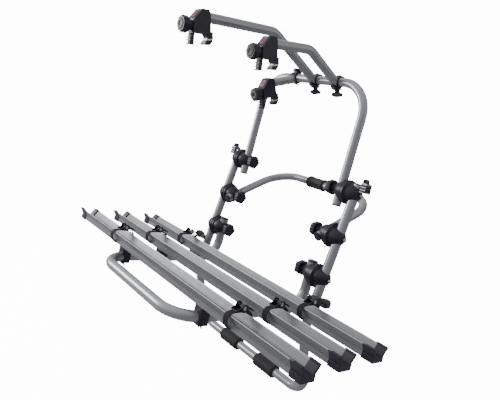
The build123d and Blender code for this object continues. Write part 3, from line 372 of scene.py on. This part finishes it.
def make_finishes(colours):
    """Every finish of the carrier by name."""
    tube, alloy = tuple(colours.tube), tuple(colours.alloy)
    black, foam, steel = tuple(colours.plastic), tuple(colours.foam), tuple(colours.steel)
    strap, pale = tuple(colours.webbing), tuple(colours.pale)
    return {
        "tube": grained("satin_tube_coat", tube, 0.55, 0.28, 0.36, 1400, 0.00002, 0.04),
        "alloy": drawn("drawn_rail_alloy", alloy, RAIL_LIP_HEIGHT),
        "plastic": grained("moulded_black", black, 0.0, 0.34, 0.44, 1500, 0.00005, 0.15, sheen=0.35),
        "knob": grained("knob_black", shade(black, 0.9), 0.0, 0.36, 0.48, 1100, 0.00006, 0.2, sheen=0.35),
        "foam": grained("sleeve_foam", foam, 0.0, 0.6, 0.75, 900, 0.0002, 0.2, sheen=0.4),
        "rubber": grained("ribbed_rubber", shade(foam, 1.1), 0.0, 0.42, 0.55, 900, 0.0001, 0.2, sheen=0.4),
        "steel": grained("zinc_plate", steel, 0.9, 0.24, 0.38, 500, 0.00003, 0.1),
        "dull": grained("dulled_zinc", shade(steel, 0.55), 0.8, 0.34, 0.48, 500, 0.00003, 0.15),
        "pale": grained("pale_rubber", pale, 0.0, 0.5, 0.65, 900, 0.0001, 0.1, sheen=0.3),
        "worn": grained("worn_rubber", shade(pale, 0.3), 0.0, 0.45, 0.6, 900, 0.0001, 0.15, sheen=0.3),
        "badge": grained("plain_badge", tuple(colours.badge), 0.0, 0.35, 0.5, 900, 0.00005, 0.15, sheen=0.3),
        "belt": woven("woven_belt", tuple(colours.belt), RIB_PITCH, YARN_PITCH),
        "webbing": woven("woven_webbing", strap, RIB_PITCH, YARN_PITCH),
        "band": woven("toothed_band", shade(strap, 0.9), TOOTH_PITCH, TOOTH_WAVE),
    }


FINISHES = {}


# Settings


class CarrierColours(bpy.types.PropertyGroup):
    """Colours of the carrier's finishes"""

    tube: bpy.props.FloatVectorProperty(
        name="Tube", description="Satin coat of the bent tubes", subtype="COLOR",
        default=(0.295, 0.305, 0.325))
    alloy: bpy.props.FloatVectorProperty(
        name="Rail", description="Drawn alloy of the wheel rails", subtype="COLOR",
        default=(0.18, 0.185, 0.20))
    plastic: bpy.props.FloatVectorProperty(
        name="Plastic", description="Moulded joints, holders and caps", subtype="COLOR",
        default=(0.016, 0.011, 0.024))
    foam: bpy.props.FloatVectorProperty(
        name="Foam", description="Sleeves that rest on the vehicle", subtype="COLOR",
        default=(0.015, 0.014, 0.017))
    steel: bpy.props.FloatVectorProperty(
        name="Steel", description="Zinc plate of brackets and fasteners", subtype="COLOR",
        default=(0.55, 0.55, 0.56))
    webbing: bpy.props.FloatVectorProperty(
        name="Straps", description="Wheel straps and ties", subtype="COLOR", default=(0.013, 0.011, 0.016))
    belt: bpy.props.FloatVectorProperty(
        name="Belts", description="Webbing of the four belts", subtype="COLOR",
        default=(0.075, 0.075, 0.085))
    pale: bpy.props.FloatVectorProperty(
        name="Pale rubber", description="Pads between the holder's ribs", subtype="COLOR",
        default=(0.33, 0.33, 0.34))
    badge: bpy.props.FloatVectorProperty(
        name="Badge", description="Plain patch on each holder's brow", subtype="COLOR",
        default=(0.30, 0.05, 0.08))


class CarrierSizes(bpy.types.PropertyGroup):
    """Sizes of the pieces that Blender adds"""

    edge: bpy.props.FloatProperty(
        name="Moulded edge", description="Rounding of the moulded parts' edges", unit="LENGTH",
        default=0.0009, min=0)
    band_thick: bpy.props.FloatProperty(
        name="Strap thickness", description="Thickness of a wheel strap", unit="LENGTH",
        default=0.0026, min=0.001)
    belt_thick: bpy.props.FloatProperty(
        name="Belt thickness", description="Thickness of the folded webbing", unit="LENGTH",
        default=0.0016, min=0.0005)
    flute_depth: bpy.props.FloatProperty(
        name="Flute depth", description="Depth of the flutes of the middle sleeve", unit="LENGTH",
        default=0.0014, min=0)


class CarrierStage(bpy.types.PropertyGroup):
    """Floor, light and camera"""

    drop: bpy.props.FloatProperty(
        name="Floor", description="Height of the floor", unit="LENGTH", default=-0.45)
    azimuth: bpy.props.FloatProperty(
        name="Azimuth", description="Camera's direction round the carrier", subtype="ANGLE",
        default=math.radians(48.36))
    elevation: bpy.props.FloatProperty(
        name="Elevation", description="Camera's slope down", subtype="ANGLE", default=math.radians(6.73))
    roll: bpy.props.FloatProperty(
        name="Roll", description="Camera's turn about its own line", subtype="ANGLE",
        default=math.radians(14.76))
    place: bpy.props.FloatVectorProperty(
        name="Camera", description="Camera's place", subtype="TRANSLATION", default=(1.324, -1.377, 0.826))
    lens: bpy.props.FloatProperty(
        name="Lens", description="Focal length on a 36 mm sensor", default=35.16, min=1)
    key: bpy.props.FloatProperty(
        name="Key light", description="Strength of the light from the left", subtype="POWER", default=70)
    fill: bpy.props.FloatProperty(
        name="Fill light", description="Strength of the light from the right", subtype="POWER", default=8)
    sky: bpy.props.FloatProperty(
        name="Sky", description="Strength of the light that the pale surroundings give",
        default=0.32, min=0)
    sky_tilt: bpy.props.FloatProperty(
        name="Sky slope", description="How much brighter the surroundings are high on the left",
        default=4.0, min=1)
    bright: bpy.props.FloatProperty(
        name="Backdrop", description="Brightness of the backdrop and floor as the camera sees them",
        default=14.0, min=0)


# Pieces


class CARRIER_OT_finishes(bpy.types.Operator):
    """Give every CAD node its finish, and round the moulded parts' edges"""

    bl_idname = "carrier.finishes"
    bl_label = "Finishes"

    def finish_of(self, node):
        """Name of a node's finish, read from its slot in the record."""
        slots = {s["node"]: s["material_slot"] for s in frame["record"]["subparts"]}
        return {
            "silver_tube": "tube", "rail_alloy": "alloy", "black_plastic": "plastic", "knob_plastic": "knob",
            "sleeve_foam": "foam", "zinc_steel": "steel", "webbing": "webbing",
        }[slots[node]]

    def execute(self, context):
        FINISHES.update(make_finishes(context.scene.carrier_colours))
        edge = context.scene.carrier_sizes.edge
        for name, node in NODES.items():
            kind = self.finish_of(name)
            node.data.materials.clear()
            node.data.materials.append(FINISHES["dull" if name == "belt_brackets" else kind])
            if kind in ("plastic", "knob", "steel"):
                weld = node.modifiers.new("Weld", "WELD")
                weld.merge_threshold = 0.00001
                bevel = node.modifiers.new("Bevel", "BEVEL")
                bevel.width = edge * (0.4 if kind == "steel" else 1)
                bevel.segments = 2
                bevel.limit_method = "ANGLE"
                bevel.angle_limit = math.radians(50)
                bevel.use_clamp_overlap = True
        return {"FINISHED"}


class CARRIER_OT_lower_sleeves(bpy.types.Operator):
    """Two foam sleeves on the lower bar: a turned section with soft ends, its middle a little slack"""

    bl_idname = "carrier.lower_sleeves"
    bl_label = "Lower sleeves"

    bar_radius = 17.0
    half_length = 56.0
    from_middle = 112.0
    slack = 0.15
    end_round = 6.5

    def execute(self, context):
        _, half = middle("lower_sleeves")
        t = np.linspace(-1, 1, 41)
        body = half[2] - self.slack - self.slack * np.cos(6 * math.pi * t)
        ends = self.end_round * np.abs(t) ** 24
        skin = np.stack([t * self.half_length, body - ends], -1)
        bore = np.full(len(t), self.bar_radius + BORE_PLAY)
        inner = np.stack([t[::-1] * (self.half_length - 1), bore], -1)
        section = np.concatenate([skin, inner])
        shells = [lathed(section, side * self.from_middle * X, X, wrap=True) for side in SIDES]
        made = piece("lower_sleeves_foam", shells, "carrier_frame", FINISHES["foam"], 60)
        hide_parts("lower_sleeves")
        return {"FINISHED"}


class CARRIER_OT_middle_sleeve(bpy.types.Operator):
    """Fluted sleeve with a collar at each end on the middle hoop"""

    bl_idname = "carrier.middle_sleeve"
    bl_label = "Middle sleeve"

    bar_radius = 16.0
    flutes = 12
    # From the middle to one end as (share of the half length, drop from the collar, share of the flute)
    half_skin = [
        (0, 1.4, 1), (0.8, 1.6, 1), (0.845, 0.6, 0), (0.86, 0, 0), (0.96, 0, 0), (0.985, 0.5, 0), (1, 2, 0)]

    def execute(self, context):
        centre, half = middle("mid_sleeve")
        depth = context.scene.carrier_sizes.flute_depth / MM
        right = np.array(self.half_skin, float)
        left = right[:0:-1] * [-1, 1, 1]
        t, drop, flute = np.concatenate([left, right]).T
        skin = np.stack([t * half[0], half[2] - drop, flute], -1)
        bore = np.full(len(t), self.bar_radius + BORE_PLAY)
        inner = np.stack([t[::-1] * (half[0] - 1), bore, 0 * t], -1)
        shells = [lathed(np.concatenate([skin, inner]), centre, X, 96, self.flutes, depth, wrap=True)]
        made = piece("middle_sleeve_rubber", shells, "mid", FINISHES["rubber"], 50)
        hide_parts("mid_sleeve")
        return {"FINISHED"}


class CARRIER_OT_wheel_straps(bpy.types.Operator):
    """Six toothed straps: a flat band carried round each rail on an eased outline, with a free tail"""

    bl_idname = "carrier.wheel_straps"
    bl_label = "Wheel straps"

    half_width = 10
    tail_half_width, tail_half_thick = 8.5, 1.0
    hub_from_middle = 13.2
    rail_clearance = 0.3
    # Where the lever's pin is from the middle of the rail's top
    pin_from_top = np.array([0, 8, 21.1])
    # The tail's line as (Y, Z) from the middle of the rail's top
    tail_line = [(12, 13.6), (24, 13.2), (38, 8.5), (47, -1), (50, -12)]
    # Sections of a buckle's round hub as (along the pin, radius)
    ring = [(0, 6.5), (0, 12), (1.6, 12), (2.6, 11), (2.6, 7.5), (2.0, 6.5)]
    core = [(0, 0.4), (0, 6.3), (1.2, 6.3), (1.8, 5.4), (1.8, 2.2), (1.2, 1.6), (1.2, 0.4)]

    def outline(self, gap):
        """The band's middle line round a rail as (Y, Z) from the middle of the rail's top."""
        tip, foot = 34.0 + gap, 22.5 + gap
        return np.array([
            (-foot, -39 - gap), (foot, -39 - gap), (tip, -3.2), (tip, 1.7 + gap), (17, 8 + gap),
            (-17, 8 + gap), (-tip, 2.7 + gap), (-tip - 4, -6), (-tip - 2, -23)])

    def execute(self, context):
        thick = context.scene.carrier_sizes.band_thick / MM
        profile = oval(self.half_width, thick / 2, 6, 28)
        tail_profile = oval(self.tail_half_width, self.tail_half_thick, 6, 28)
        loop = eased(self.outline(thick / 2 + self.rail_clearance), 6.0)
        tail = eased(self.tail_line, 9.0, closed=False)
        shells, rings, cores = [], [], []
        for row in ROWS:
            for side in ("left", "right"):
                pin, _ = joint(f"strap_lever_{row}_{side}_swing")
                top = pin - self.pin_from_top
                shells.append(swept(top + loop[:, :1] * Y + loop[:, 1:] * Z, profile, X, closed=True))
                shells.append(swept(top + tail[:, :1] * Y + tail[:, 1:] * Z, tail_profile, X))
                for way in SIDES:
                    hub = pin + way * self.hub_from_middle * X
                    rings.append(lathed(self.ring, hub, way * X, 40, wrap=True))
                    cores.append(lathed(self.core, hub, way * X, 32, wrap=True))
        made = piece("wheel_strap_bands", shells, "platform", FINISHES["band"], 60)
        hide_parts("strap_bands")
        piece("strap_hub_rings", rings, "platform", FINISHES["plastic"])
        piece("strap_hub_cores", cores, "platform", FINISHES["steel"])
        return {"FINISHED"}


class CARRIER_OT_upper_belts(bpy.types.Operator):
    """Folded belts in the upper trays: a band laid to and fro, a roll on top and the tray's cross bar"""

    bl_idname = "carrier.upper_belts"
    bl_label = "Upper belts"

    # The right tray's middle and the height of the belt's lowest layer
    tray_x, tray_y, lowest = 357.0, -41.0, 756.2
    half_width = 11.0
    layers, layer_pitch = 7, 3.1
    roll_height, roll_inset = 790.6, 1.6
    turn_heights = (758.6, 768.0, 777.4)
    turn_offset = 1.2
    bar_x, bar_height = 364.5, 780.0

    def folded(self):
        """Across and up along the folds: across swings as a flattened cosine of the layer's number, with
        a little more reach in the middle layers, and up climbs fastest where the band turns back."""
        t = np.linspace(0, self.layers, 141)
        reach = 7.2 + 1.1 * np.sin(math.pi * t / self.layers)
        swing = np.sign(np.cos(math.pi * t)) * np.abs(np.cos(math.pi * t)) ** 0.55
        rise = self.layer_pitch * (t - np.sin(2 * math.pi * t) / (2.6 * math.pi))
        return self.tray_x + reach * swing, self.lowest + rise

    def rolled(self):
        """Across and up along the roll on top: a spiral of even pitch, stretched upwards."""
        wind = np.linspace(0.6, 3.0, 120) * 2 * math.pi
        radius = 0.3 + wind * 0.33
        return (self.tray_x - self.roll_inset + radius * np.cos(wind),
                self.roll_height + 1.7 * radius * np.sin(wind))

    def execute(self, context):
        thick = context.scene.carrier_sizes.belt_thick / MM
        profile = oval(self.half_width, thick / 2, 6, 24)
        loop = oval(11.2, 13.6, 8, 48)
        folds, turns, bars = [], [], []
        for side in SIDES:
            for across, up in (self.folded(), self.rolled()):
                path = np.stack([side * across, np.full_like(up, self.tray_y), up], -1)
                folds.append(swept(path, profile, Y))
            for height in self.turn_heights:
                centre = np.array([side * (self.tray_x + self.turn_offset), self.tray_y, height])
                path = centre + loop[:, :1] * X + loop[:, 1:] * Y
                turns.append(swept(path, oval(3.2, 0.6, 5, 16), Z, closed=True))
            bar = np.array([side * self.bar_x, self.tray_y, self.bar_height])
            bars.append(block(bar, (X, Z, Y), (2.2, 3.6, 12.4), 0.8))
        made = piece("upper_belts", folds, "carrier_frame", FINISHES["belt"], 60)
        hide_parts("belt_rolls")
        piece("upper_belt_turns", turns, "carrier_frame", FINISHES["belt"], 60)
        piece("upper_tray_bars", bars, "carrier_frame", FINISHES["steel"])
        return {"FINISHED"}


class CARRIER_OT_lower_belts(bpy.types.Operator):
    """Rolled belts outside the lower legs: a flattened spiral, its end laid across the hook plate"""

    bl_idname = "carrier.lower_belts"
    bl_label = "Lower belts"

    # Middle of the right roll
    roll_x, roll_y, roll_z = 371.5, -101.5, 375.0
    half_width = 9.6
    # The end's line from the leg to the right roll, as (X, Y)
    end_line = [(325, -110.2), (340, -110.4), (349, -110.2), (352, -106)]
    end_half_width, end_half_thick = 10, 1.1

    def rolled(self):
        """Across and up along the roll: a spiral of even pitch with its sides flattened, 1.45 times as
        long as it is high."""
        wind = np.linspace(0.3, 5.25, 300) * 2 * math.pi
        grow = 1.5 + wind * 0.405
        c, s = np.cos(wind), np.sin(wind)
        return (self.roll_x + 1.45 * (grow + 1.0) * np.sign(c) * np.abs(c) ** 0.62,
                self.roll_z + grow * np.sign(s) * np.abs(s) ** 0.62)

    def execute(self, context):
        thick = context.scene.carrier_sizes.belt_thick / MM
        across, up = self.rolled()
        end = eased(self.end_line, 5.0, closed=False)
        shells = []
        for side in SIDES:
            path = np.stack([side * across, np.full_like(up, self.roll_y), up], -1)
            shells.append(swept(path, oval(self.half_width, thick / 2, 6, 24), Y))
            path = np.stack([side * end[:, 0], end[:, 1], np.full(len(end), self.roll_z)], -1)
            shells.append(swept(path, oval(self.end_half_width, self.end_half_thick, 6, 24), Z))
        piece("lower_belts", shells, "carrier_frame", FINISHES["belt"], 60)
        return {"FINISHED"}


class CARRIER_OT_holder_trim(bpy.types.Operator):
    """Trim of the frame holders: pads between the finger's ribs, jaw band, brow patch, knob face, tie"""

    bl_idname = "carrier.holder_trim"
    bl_label = "Holder trim"

    # Places are (u, w) in the arm's own axes: u out along the arm from its end, w up across it
    pad_u, pad_half_width, pad_half_depth = 54.2, 8.2, 1.8
    # Each pad as (w, half height, edge)
    pads = [(-78.75, 2.5, 1.0), (-68.25, 2.5, 1.0), (-56.0, 3.6, 1.2)]
    jaw_middle = (-12.1, -63.4)
    jaw_tilt = (0.985, -0.17)
    brow_middle = (41, 4)
    brow_fall = (26.0, -32.0)
    # Each layer of the brow's patch as (half width, half length, lift)
    brow_layers = {"edge": (9.2, 13.0, 0.5), "patch": (7.0, 10.6, 1.1)}
    knob_end = (88.3, -31)
    face = [(0, 6.2), (1.2, 6.6), (1.9, 8.0), (1.9, 13.5), (1.2, 15.4), (0, 16.8), (-0.6, 16.8), (-0.6, 6.2)]
    tie_u, tie_length, tie_radius = 44.5, 40.0, 0.9
    # Each strand of the tie as (w at the finger, w at the jaw, bow)
    strands = [(-72.0, -78.0, -1.5), (-83.0, -79.5, -4.5)]
    tie_blend_u, tie_blend_w = (43, 6), -78

    def execute(self, context):
        for row in ROWS:
            self.trim(row)
        return {"FINISHED"}

    def trim(self, row):
        """All the trim of one holder."""
        end, out, up = arm_axes(row)
        arm, jaw = f"arm_{row}", f"holder_jaw_{row}"

        def at(u, w):
            return end + u * out + w * up

        pads = [block(at(self.pad_u, w), (X, up, out), (self.pad_half_width, high, self.pad_half_depth), edge)
                for w, high, edge in self.pads]
        piece(f"holder_pads_{row}", pads, arm, FINISHES["worn"])

        loop = oval(10.9, 12.9, 9, 64)
        level = self.jaw_tilt[0] * out + self.jaw_tilt[1] * up
        path = at(*self.jaw_middle) + loop[:, :1] * level + loop[:, 1:] * X
        band = swept(path, oval(2.2, 0.5, 5, 16), np.cross(level, X), closed=True)
        piece(f"jaw_band_{row}", [band], jaw, FINISHES["steel"])

        fall_u, fall_w = np.array(self.brow_fall) / math.hypot(*self.brow_fall)
        down, proud = fall_u * out + fall_w * up, fall_u * up - fall_w * out
        for name, (half_x, half_down, lift) in self.brow_layers.items():
            place = at(*self.brow_middle) + lift * proud
            slab = block(place, (X, down, proud), (half_x, half_down, 0.7), 0.4, 5.0)
            finish = FINISHES["badge" if name == "patch" else "pale"]
            piece(f"brow_{name}_{row}", [slab], arm, finish)

        face = lathed(self.face, at(*self.knob_end), out, 56, wrap=True)
        piece(f"knob_face_{row}", [face], f"holder_knob_{row}", FINISHES["worn"])

        tie = []
        t = np.linspace(0, 1, 25)
        for w0, w1, bow in self.strands:
            path = at(self.tie_u, w0) - (self.tie_length * t)[:, None] * out
            path = path + ((w1 - w0) * t + bow * np.sin(math.pi * t))[:, None] * up
            tie.append(swept(path, oval(self.tie_radius, self.tie_radius, 2, 12), X))
        made = piece(f"holder_tie_{row}", tie, None, FINISHES["webbing"])
        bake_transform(made)


class CARRIER_OT_knob_caps(bpy.types.Operator):
    """Turned caps on the pivot knobs, and the small stop on each middle joint's disc"""

    bl_idname = "carrier.knob_caps"
    bl_label = "Knob caps"

    # The cap's section as (out from the knob's end, radius)
    cap = [(-0.5, 12.5), (0, 12.5), (0.9, 12.2), (1.4, 11.0), (1.4, 9.0),
           (0.5, 8.0), (0.5, 3.0), (0.9, 2.6), (0.9, 0.2)]
    stop_x, stop_rise = 298.0, 42.0

    def execute(self, context):
        for name in ("hoop", "mid", "platform"):
            for side, word in zip(SIDES, ("left", "right")):
                knob = f"{name}_knob_{word}"
                place, _ = joint(f"{knob}_turn")
                centre, half = middle(knob)
                place[0] = centre[0] - side * half[0]
                shells = [lathed(self.cap, place, -side * X)]
                piece(f"{name}_knob_cap_{word}", shells, knob, FINISHES["plastic"])
        place, _ = joint("mid_fold")
        stops = [block(place + side * self.stop_x * X + self.stop_rise * Z, (X, Y, Z), (4.5, 8.5, 2.6), 1.0)
                 for side in SIDES]
        piece("middle_disc_stops", stops, "carrier_frame", FINISHES["plastic"])
        return {"FINISHED"}


class CARRIER_OT_clamp_trim(bpy.types.Operator):
    """Pale slots in the clips of the longer arms' clamps"""

    bl_idname = "carrier.clamp_trim"
    bl_label = "Clamp trim"

    clip_angle = math.radians(240)
    clip_end = 30.9

    def execute(self, context):
        out = np.array([0, math.cos(self.clip_angle), math.sin(self.clip_angle)])
        across = np.cross(X, out)
        for row in (2, 3):
            bar, _ = joint(f"arm_{row}_tilt")
            slot = block(bar + self.clip_end * out, (X, across, out), (5.5, 2.0, 0.6), 0.4)
            piece(f"clip_slot_{row}", [slot], f"arm_{row}", FINISHES["pale"])
        return {"FINISHED"}


class CARRIER_OT_stage(bpy.types.Operator):
    """Pale floor, soft studio light and the camera at the photograph's angle"""

    bl_idname = "carrier.stage"
    bl_label = "Stage"

    # Cosine, from the bright direction, below which the surroundings are at their dimmest
    dim_until = -0.3
    bright_up, bright_left = 0.8, 0.6
    floor_half = 30.0
    floor_grey = 0.4
    target = np.array([0.0, -0.25, 0.55])
    # Each lamp from the target, in metres to the right of the view, up across it and back to the camera
    key_from, key_size = (-2.6, 1.4, -0.4), 1.2
    fill_from, fill_size = (2.4, 0.6, 1.0), 2.2

    def soft_light(self, name, offset, size, power):
        """Round lamp at an offset from the target, turned to face it."""
        lamp = bpy.data.lights.new(name, "AREA")
        lamp.shape, lamp.size, lamp.energy = "DISK", size, power
        made = bpy.data.objects.new(name, lamp)
        made.location = self.target + offset
        made.rotation_mode = "QUATERNION"
        made.rotation_quaternion = Vector(offset).to_track_quat("Z", "Y")
        bpy.context.scene.collection.objects.link(made)

    def seen_strength(self, tree, soft, bright):
        """Strength that is bright to the camera's own rays and soft to those that light the carrier."""
        ray = tree.nodes.new("ShaderNodeLightPath")
        pick = tree.nodes.new("ShaderNodeMapRange")
        if isinstance(soft, float):
            pick.inputs["To Min"].default_value = soft
        else:
            tree.links.new(soft, pick.inputs["To Min"])
        pick.inputs["To Max"].default_value = bright
        tree.links.new(ray.outputs["Is Camera Ray"], pick.inputs["Value"])
        return pick.outputs["Result"]

    def slope(self, tree, toward, low, high):
        """Strength that grows from low, past a right angle from the given direction, to high along it."""
        place = tree.nodes.new("ShaderNodeTexCoord")
        turn = tree.nodes.new("ShaderNodeVectorMath")
        turn.operation = "DOT_PRODUCT"
        turn.inputs[1].default_value = toward
        tree.links.new(place.outputs["Generated"], turn.inputs[0])
        spread = tree.nodes.new("ShaderNodeMapRange")
        spread.interpolation_type = "SMOOTHSTEP"
        spread.inputs["From Min"].default_value = self.dim_until
        spread.inputs["To Min"].default_value = low
        spread.inputs["To Max"].default_value = high
        tree.links.new(turn.outputs["Value"], spread.inputs["Value"])
        return spread.outputs["Result"]

    def floor_finish(self, soft, bright):
        """Pale floor whose glow, with the light that it gives back, is about as bright as the backdrop."""
        grey = (self.floor_grey,) * 3
        finish, nodes, links, shader, place = new_finish("pale_floor", grey, 0.0, 0.9)
        tint(nodes, links, shader, noise(nodes, links, place, 2), shade(grey, 0.975), shade(grey, 1.025))
        shader.inputs["Emission Color"].default_value = (1, 1, 1, 1)
        glow = self.seen_strength(finish.node_tree, 0.0, bright - self.floor_grey * soft)
        links.new(glow, shader.inputs["Emission Strength"])
        return finish

    def surroundings(self, soft, tilt, toward, bright):
        """White world that lights the carrier more from one direction, and is bright to the camera."""
        world = bpy.data.worlds.new("pale_surroundings")
        world.use_nodes = True
        back = world.node_tree.nodes["Background"]
        back.inputs["Color"].default_value = (1, 1, 1, 1)
        tree = world.node_tree
        glow = self.slope(tree, toward, soft, soft * tilt)
        tree.links.new(self.seen_strength(tree, glow, bright), back.inputs["Strength"])
        return world

    def execute(self, context):
        stage = context.scene.carrier_stage
        reach = self.floor_half
        corners = [(-reach, -reach), (reach, -reach), (reach, reach), (-reach, reach)]
        mesh = bpy.data.meshes.new("floor")
        mesh.from_pydata([(*corner, stage.drop) for corner in corners], [], [(0, 1, 2, 3)])
        floor = bpy.data.objects.new("floor", mesh)
        mesh.materials.append(self.floor_finish(stage.sky, stage.bright))
        context.scene.collection.objects.link(floor)
        a, e, r = stage.azimuth, stage.elevation, stage.roll
        behind = np.array([math.sin(a) * math.cos(e), -math.cos(a) * math.cos(e), math.sin(e)])
        level = np.array([math.cos(a), math.sin(a), 0.0])
        upright = np.cross(behind, level)
        right = math.cos(r) * level + math.sin(r) * upright
        top = np.cross(behind, right)
        high_left = self.bright_up * Z - self.bright_left * right
        context.scene.world = self.surroundings(stage.sky, stage.sky_tilt, tuple(high_left), stage.bright)
        camera = bpy.data.objects.new("camera", bpy.data.cameras.new("camera"))
        camera.data.lens, camera.data.sensor_width = stage.lens, 36
        camera.data.clip_start, camera.data.clip_end = 0.05, 200
        camera.matrix_world = Matrix([
            (right[0], top[0], behind[0], stage.place[0]),
            (right[1], top[1], behind[1], stage.place[1]),
            (right[2], top[2], behind[2], stage.place[2]),
            (0, 0, 0, 1)])
        context.scene.collection.objects.link(camera)
        context.scene.camera = camera
        view = np.array([right, top, behind])
        self.soft_light("key", self.key_from @ view, self.key_size, stage.key)
        self.soft_light("fill", self.fill_from @ view, self.fill_size, stage.fill)
        return {"FINISHED"}


OPERATORS = (
    CARRIER_OT_finishes,
    CARRIER_OT_lower_sleeves,
    CARRIER_OT_middle_sleeve,
    CARRIER_OT_wheel_straps,
    CARRIER_OT_upper_belts,
    CARRIER_OT_lower_belts,
    CARRIER_OT_holder_trim,
    CARRIER_OT_knob_caps,
    CARRIER_OT_clamp_trim,
    CARRIER_OT_stage,
)


class CARRIER_PT_pieces(bpy.types.Panel):
    """The carrier's pieces and settings"""

    bl_label = "Bike Carrier"
    bl_idname = "CARRIER_PT_pieces"
    bl_space_type = "VIEW_3D"
    bl_region_type = "UI"
    bl_category = "Carrier"

    def draw(self, context):
        for operator in OPERATORS:
            self.layout.operator(operator.bl_idname)
        for name in SETTINGS:
            group = getattr(context.scene, name)
            for field in group.bl_rna.properties:
                if field.identifier not in ("rna_type", "name"):
                    self.layout.prop(group, field.identifier)


SETTINGS = {"carrier_colours": CarrierColours, "carrier_sizes": CarrierSizes, "carrier_stage": CarrierStage}
CLASSES = (*SETTINGS.values(), *OPERATORS, CARRIER_PT_pieces)


def register():
    for each in CLASSES:
        bpy.utils.register_class(each)
    for name, group in SETTINGS.items():
        setattr(bpy.types.Scene, name, bpy.props.PointerProperty(type=group))


def unregister():
    for name in SETTINGS:
        delattr(bpy.types.Scene, name)
    for each in reversed(CLASSES):
        bpy.utils.unregister_class(each)


def main():
    register()
    for operator in OPERATORS:
        group, name = operator.bl_idname.split(".")
        if getattr(getattr(bpy.ops, group), name)() != {"FINISHED"}:
            raise RuntimeError(f"{operator.bl_idname} did not finish")


if __name__ == "__main__":
    main()
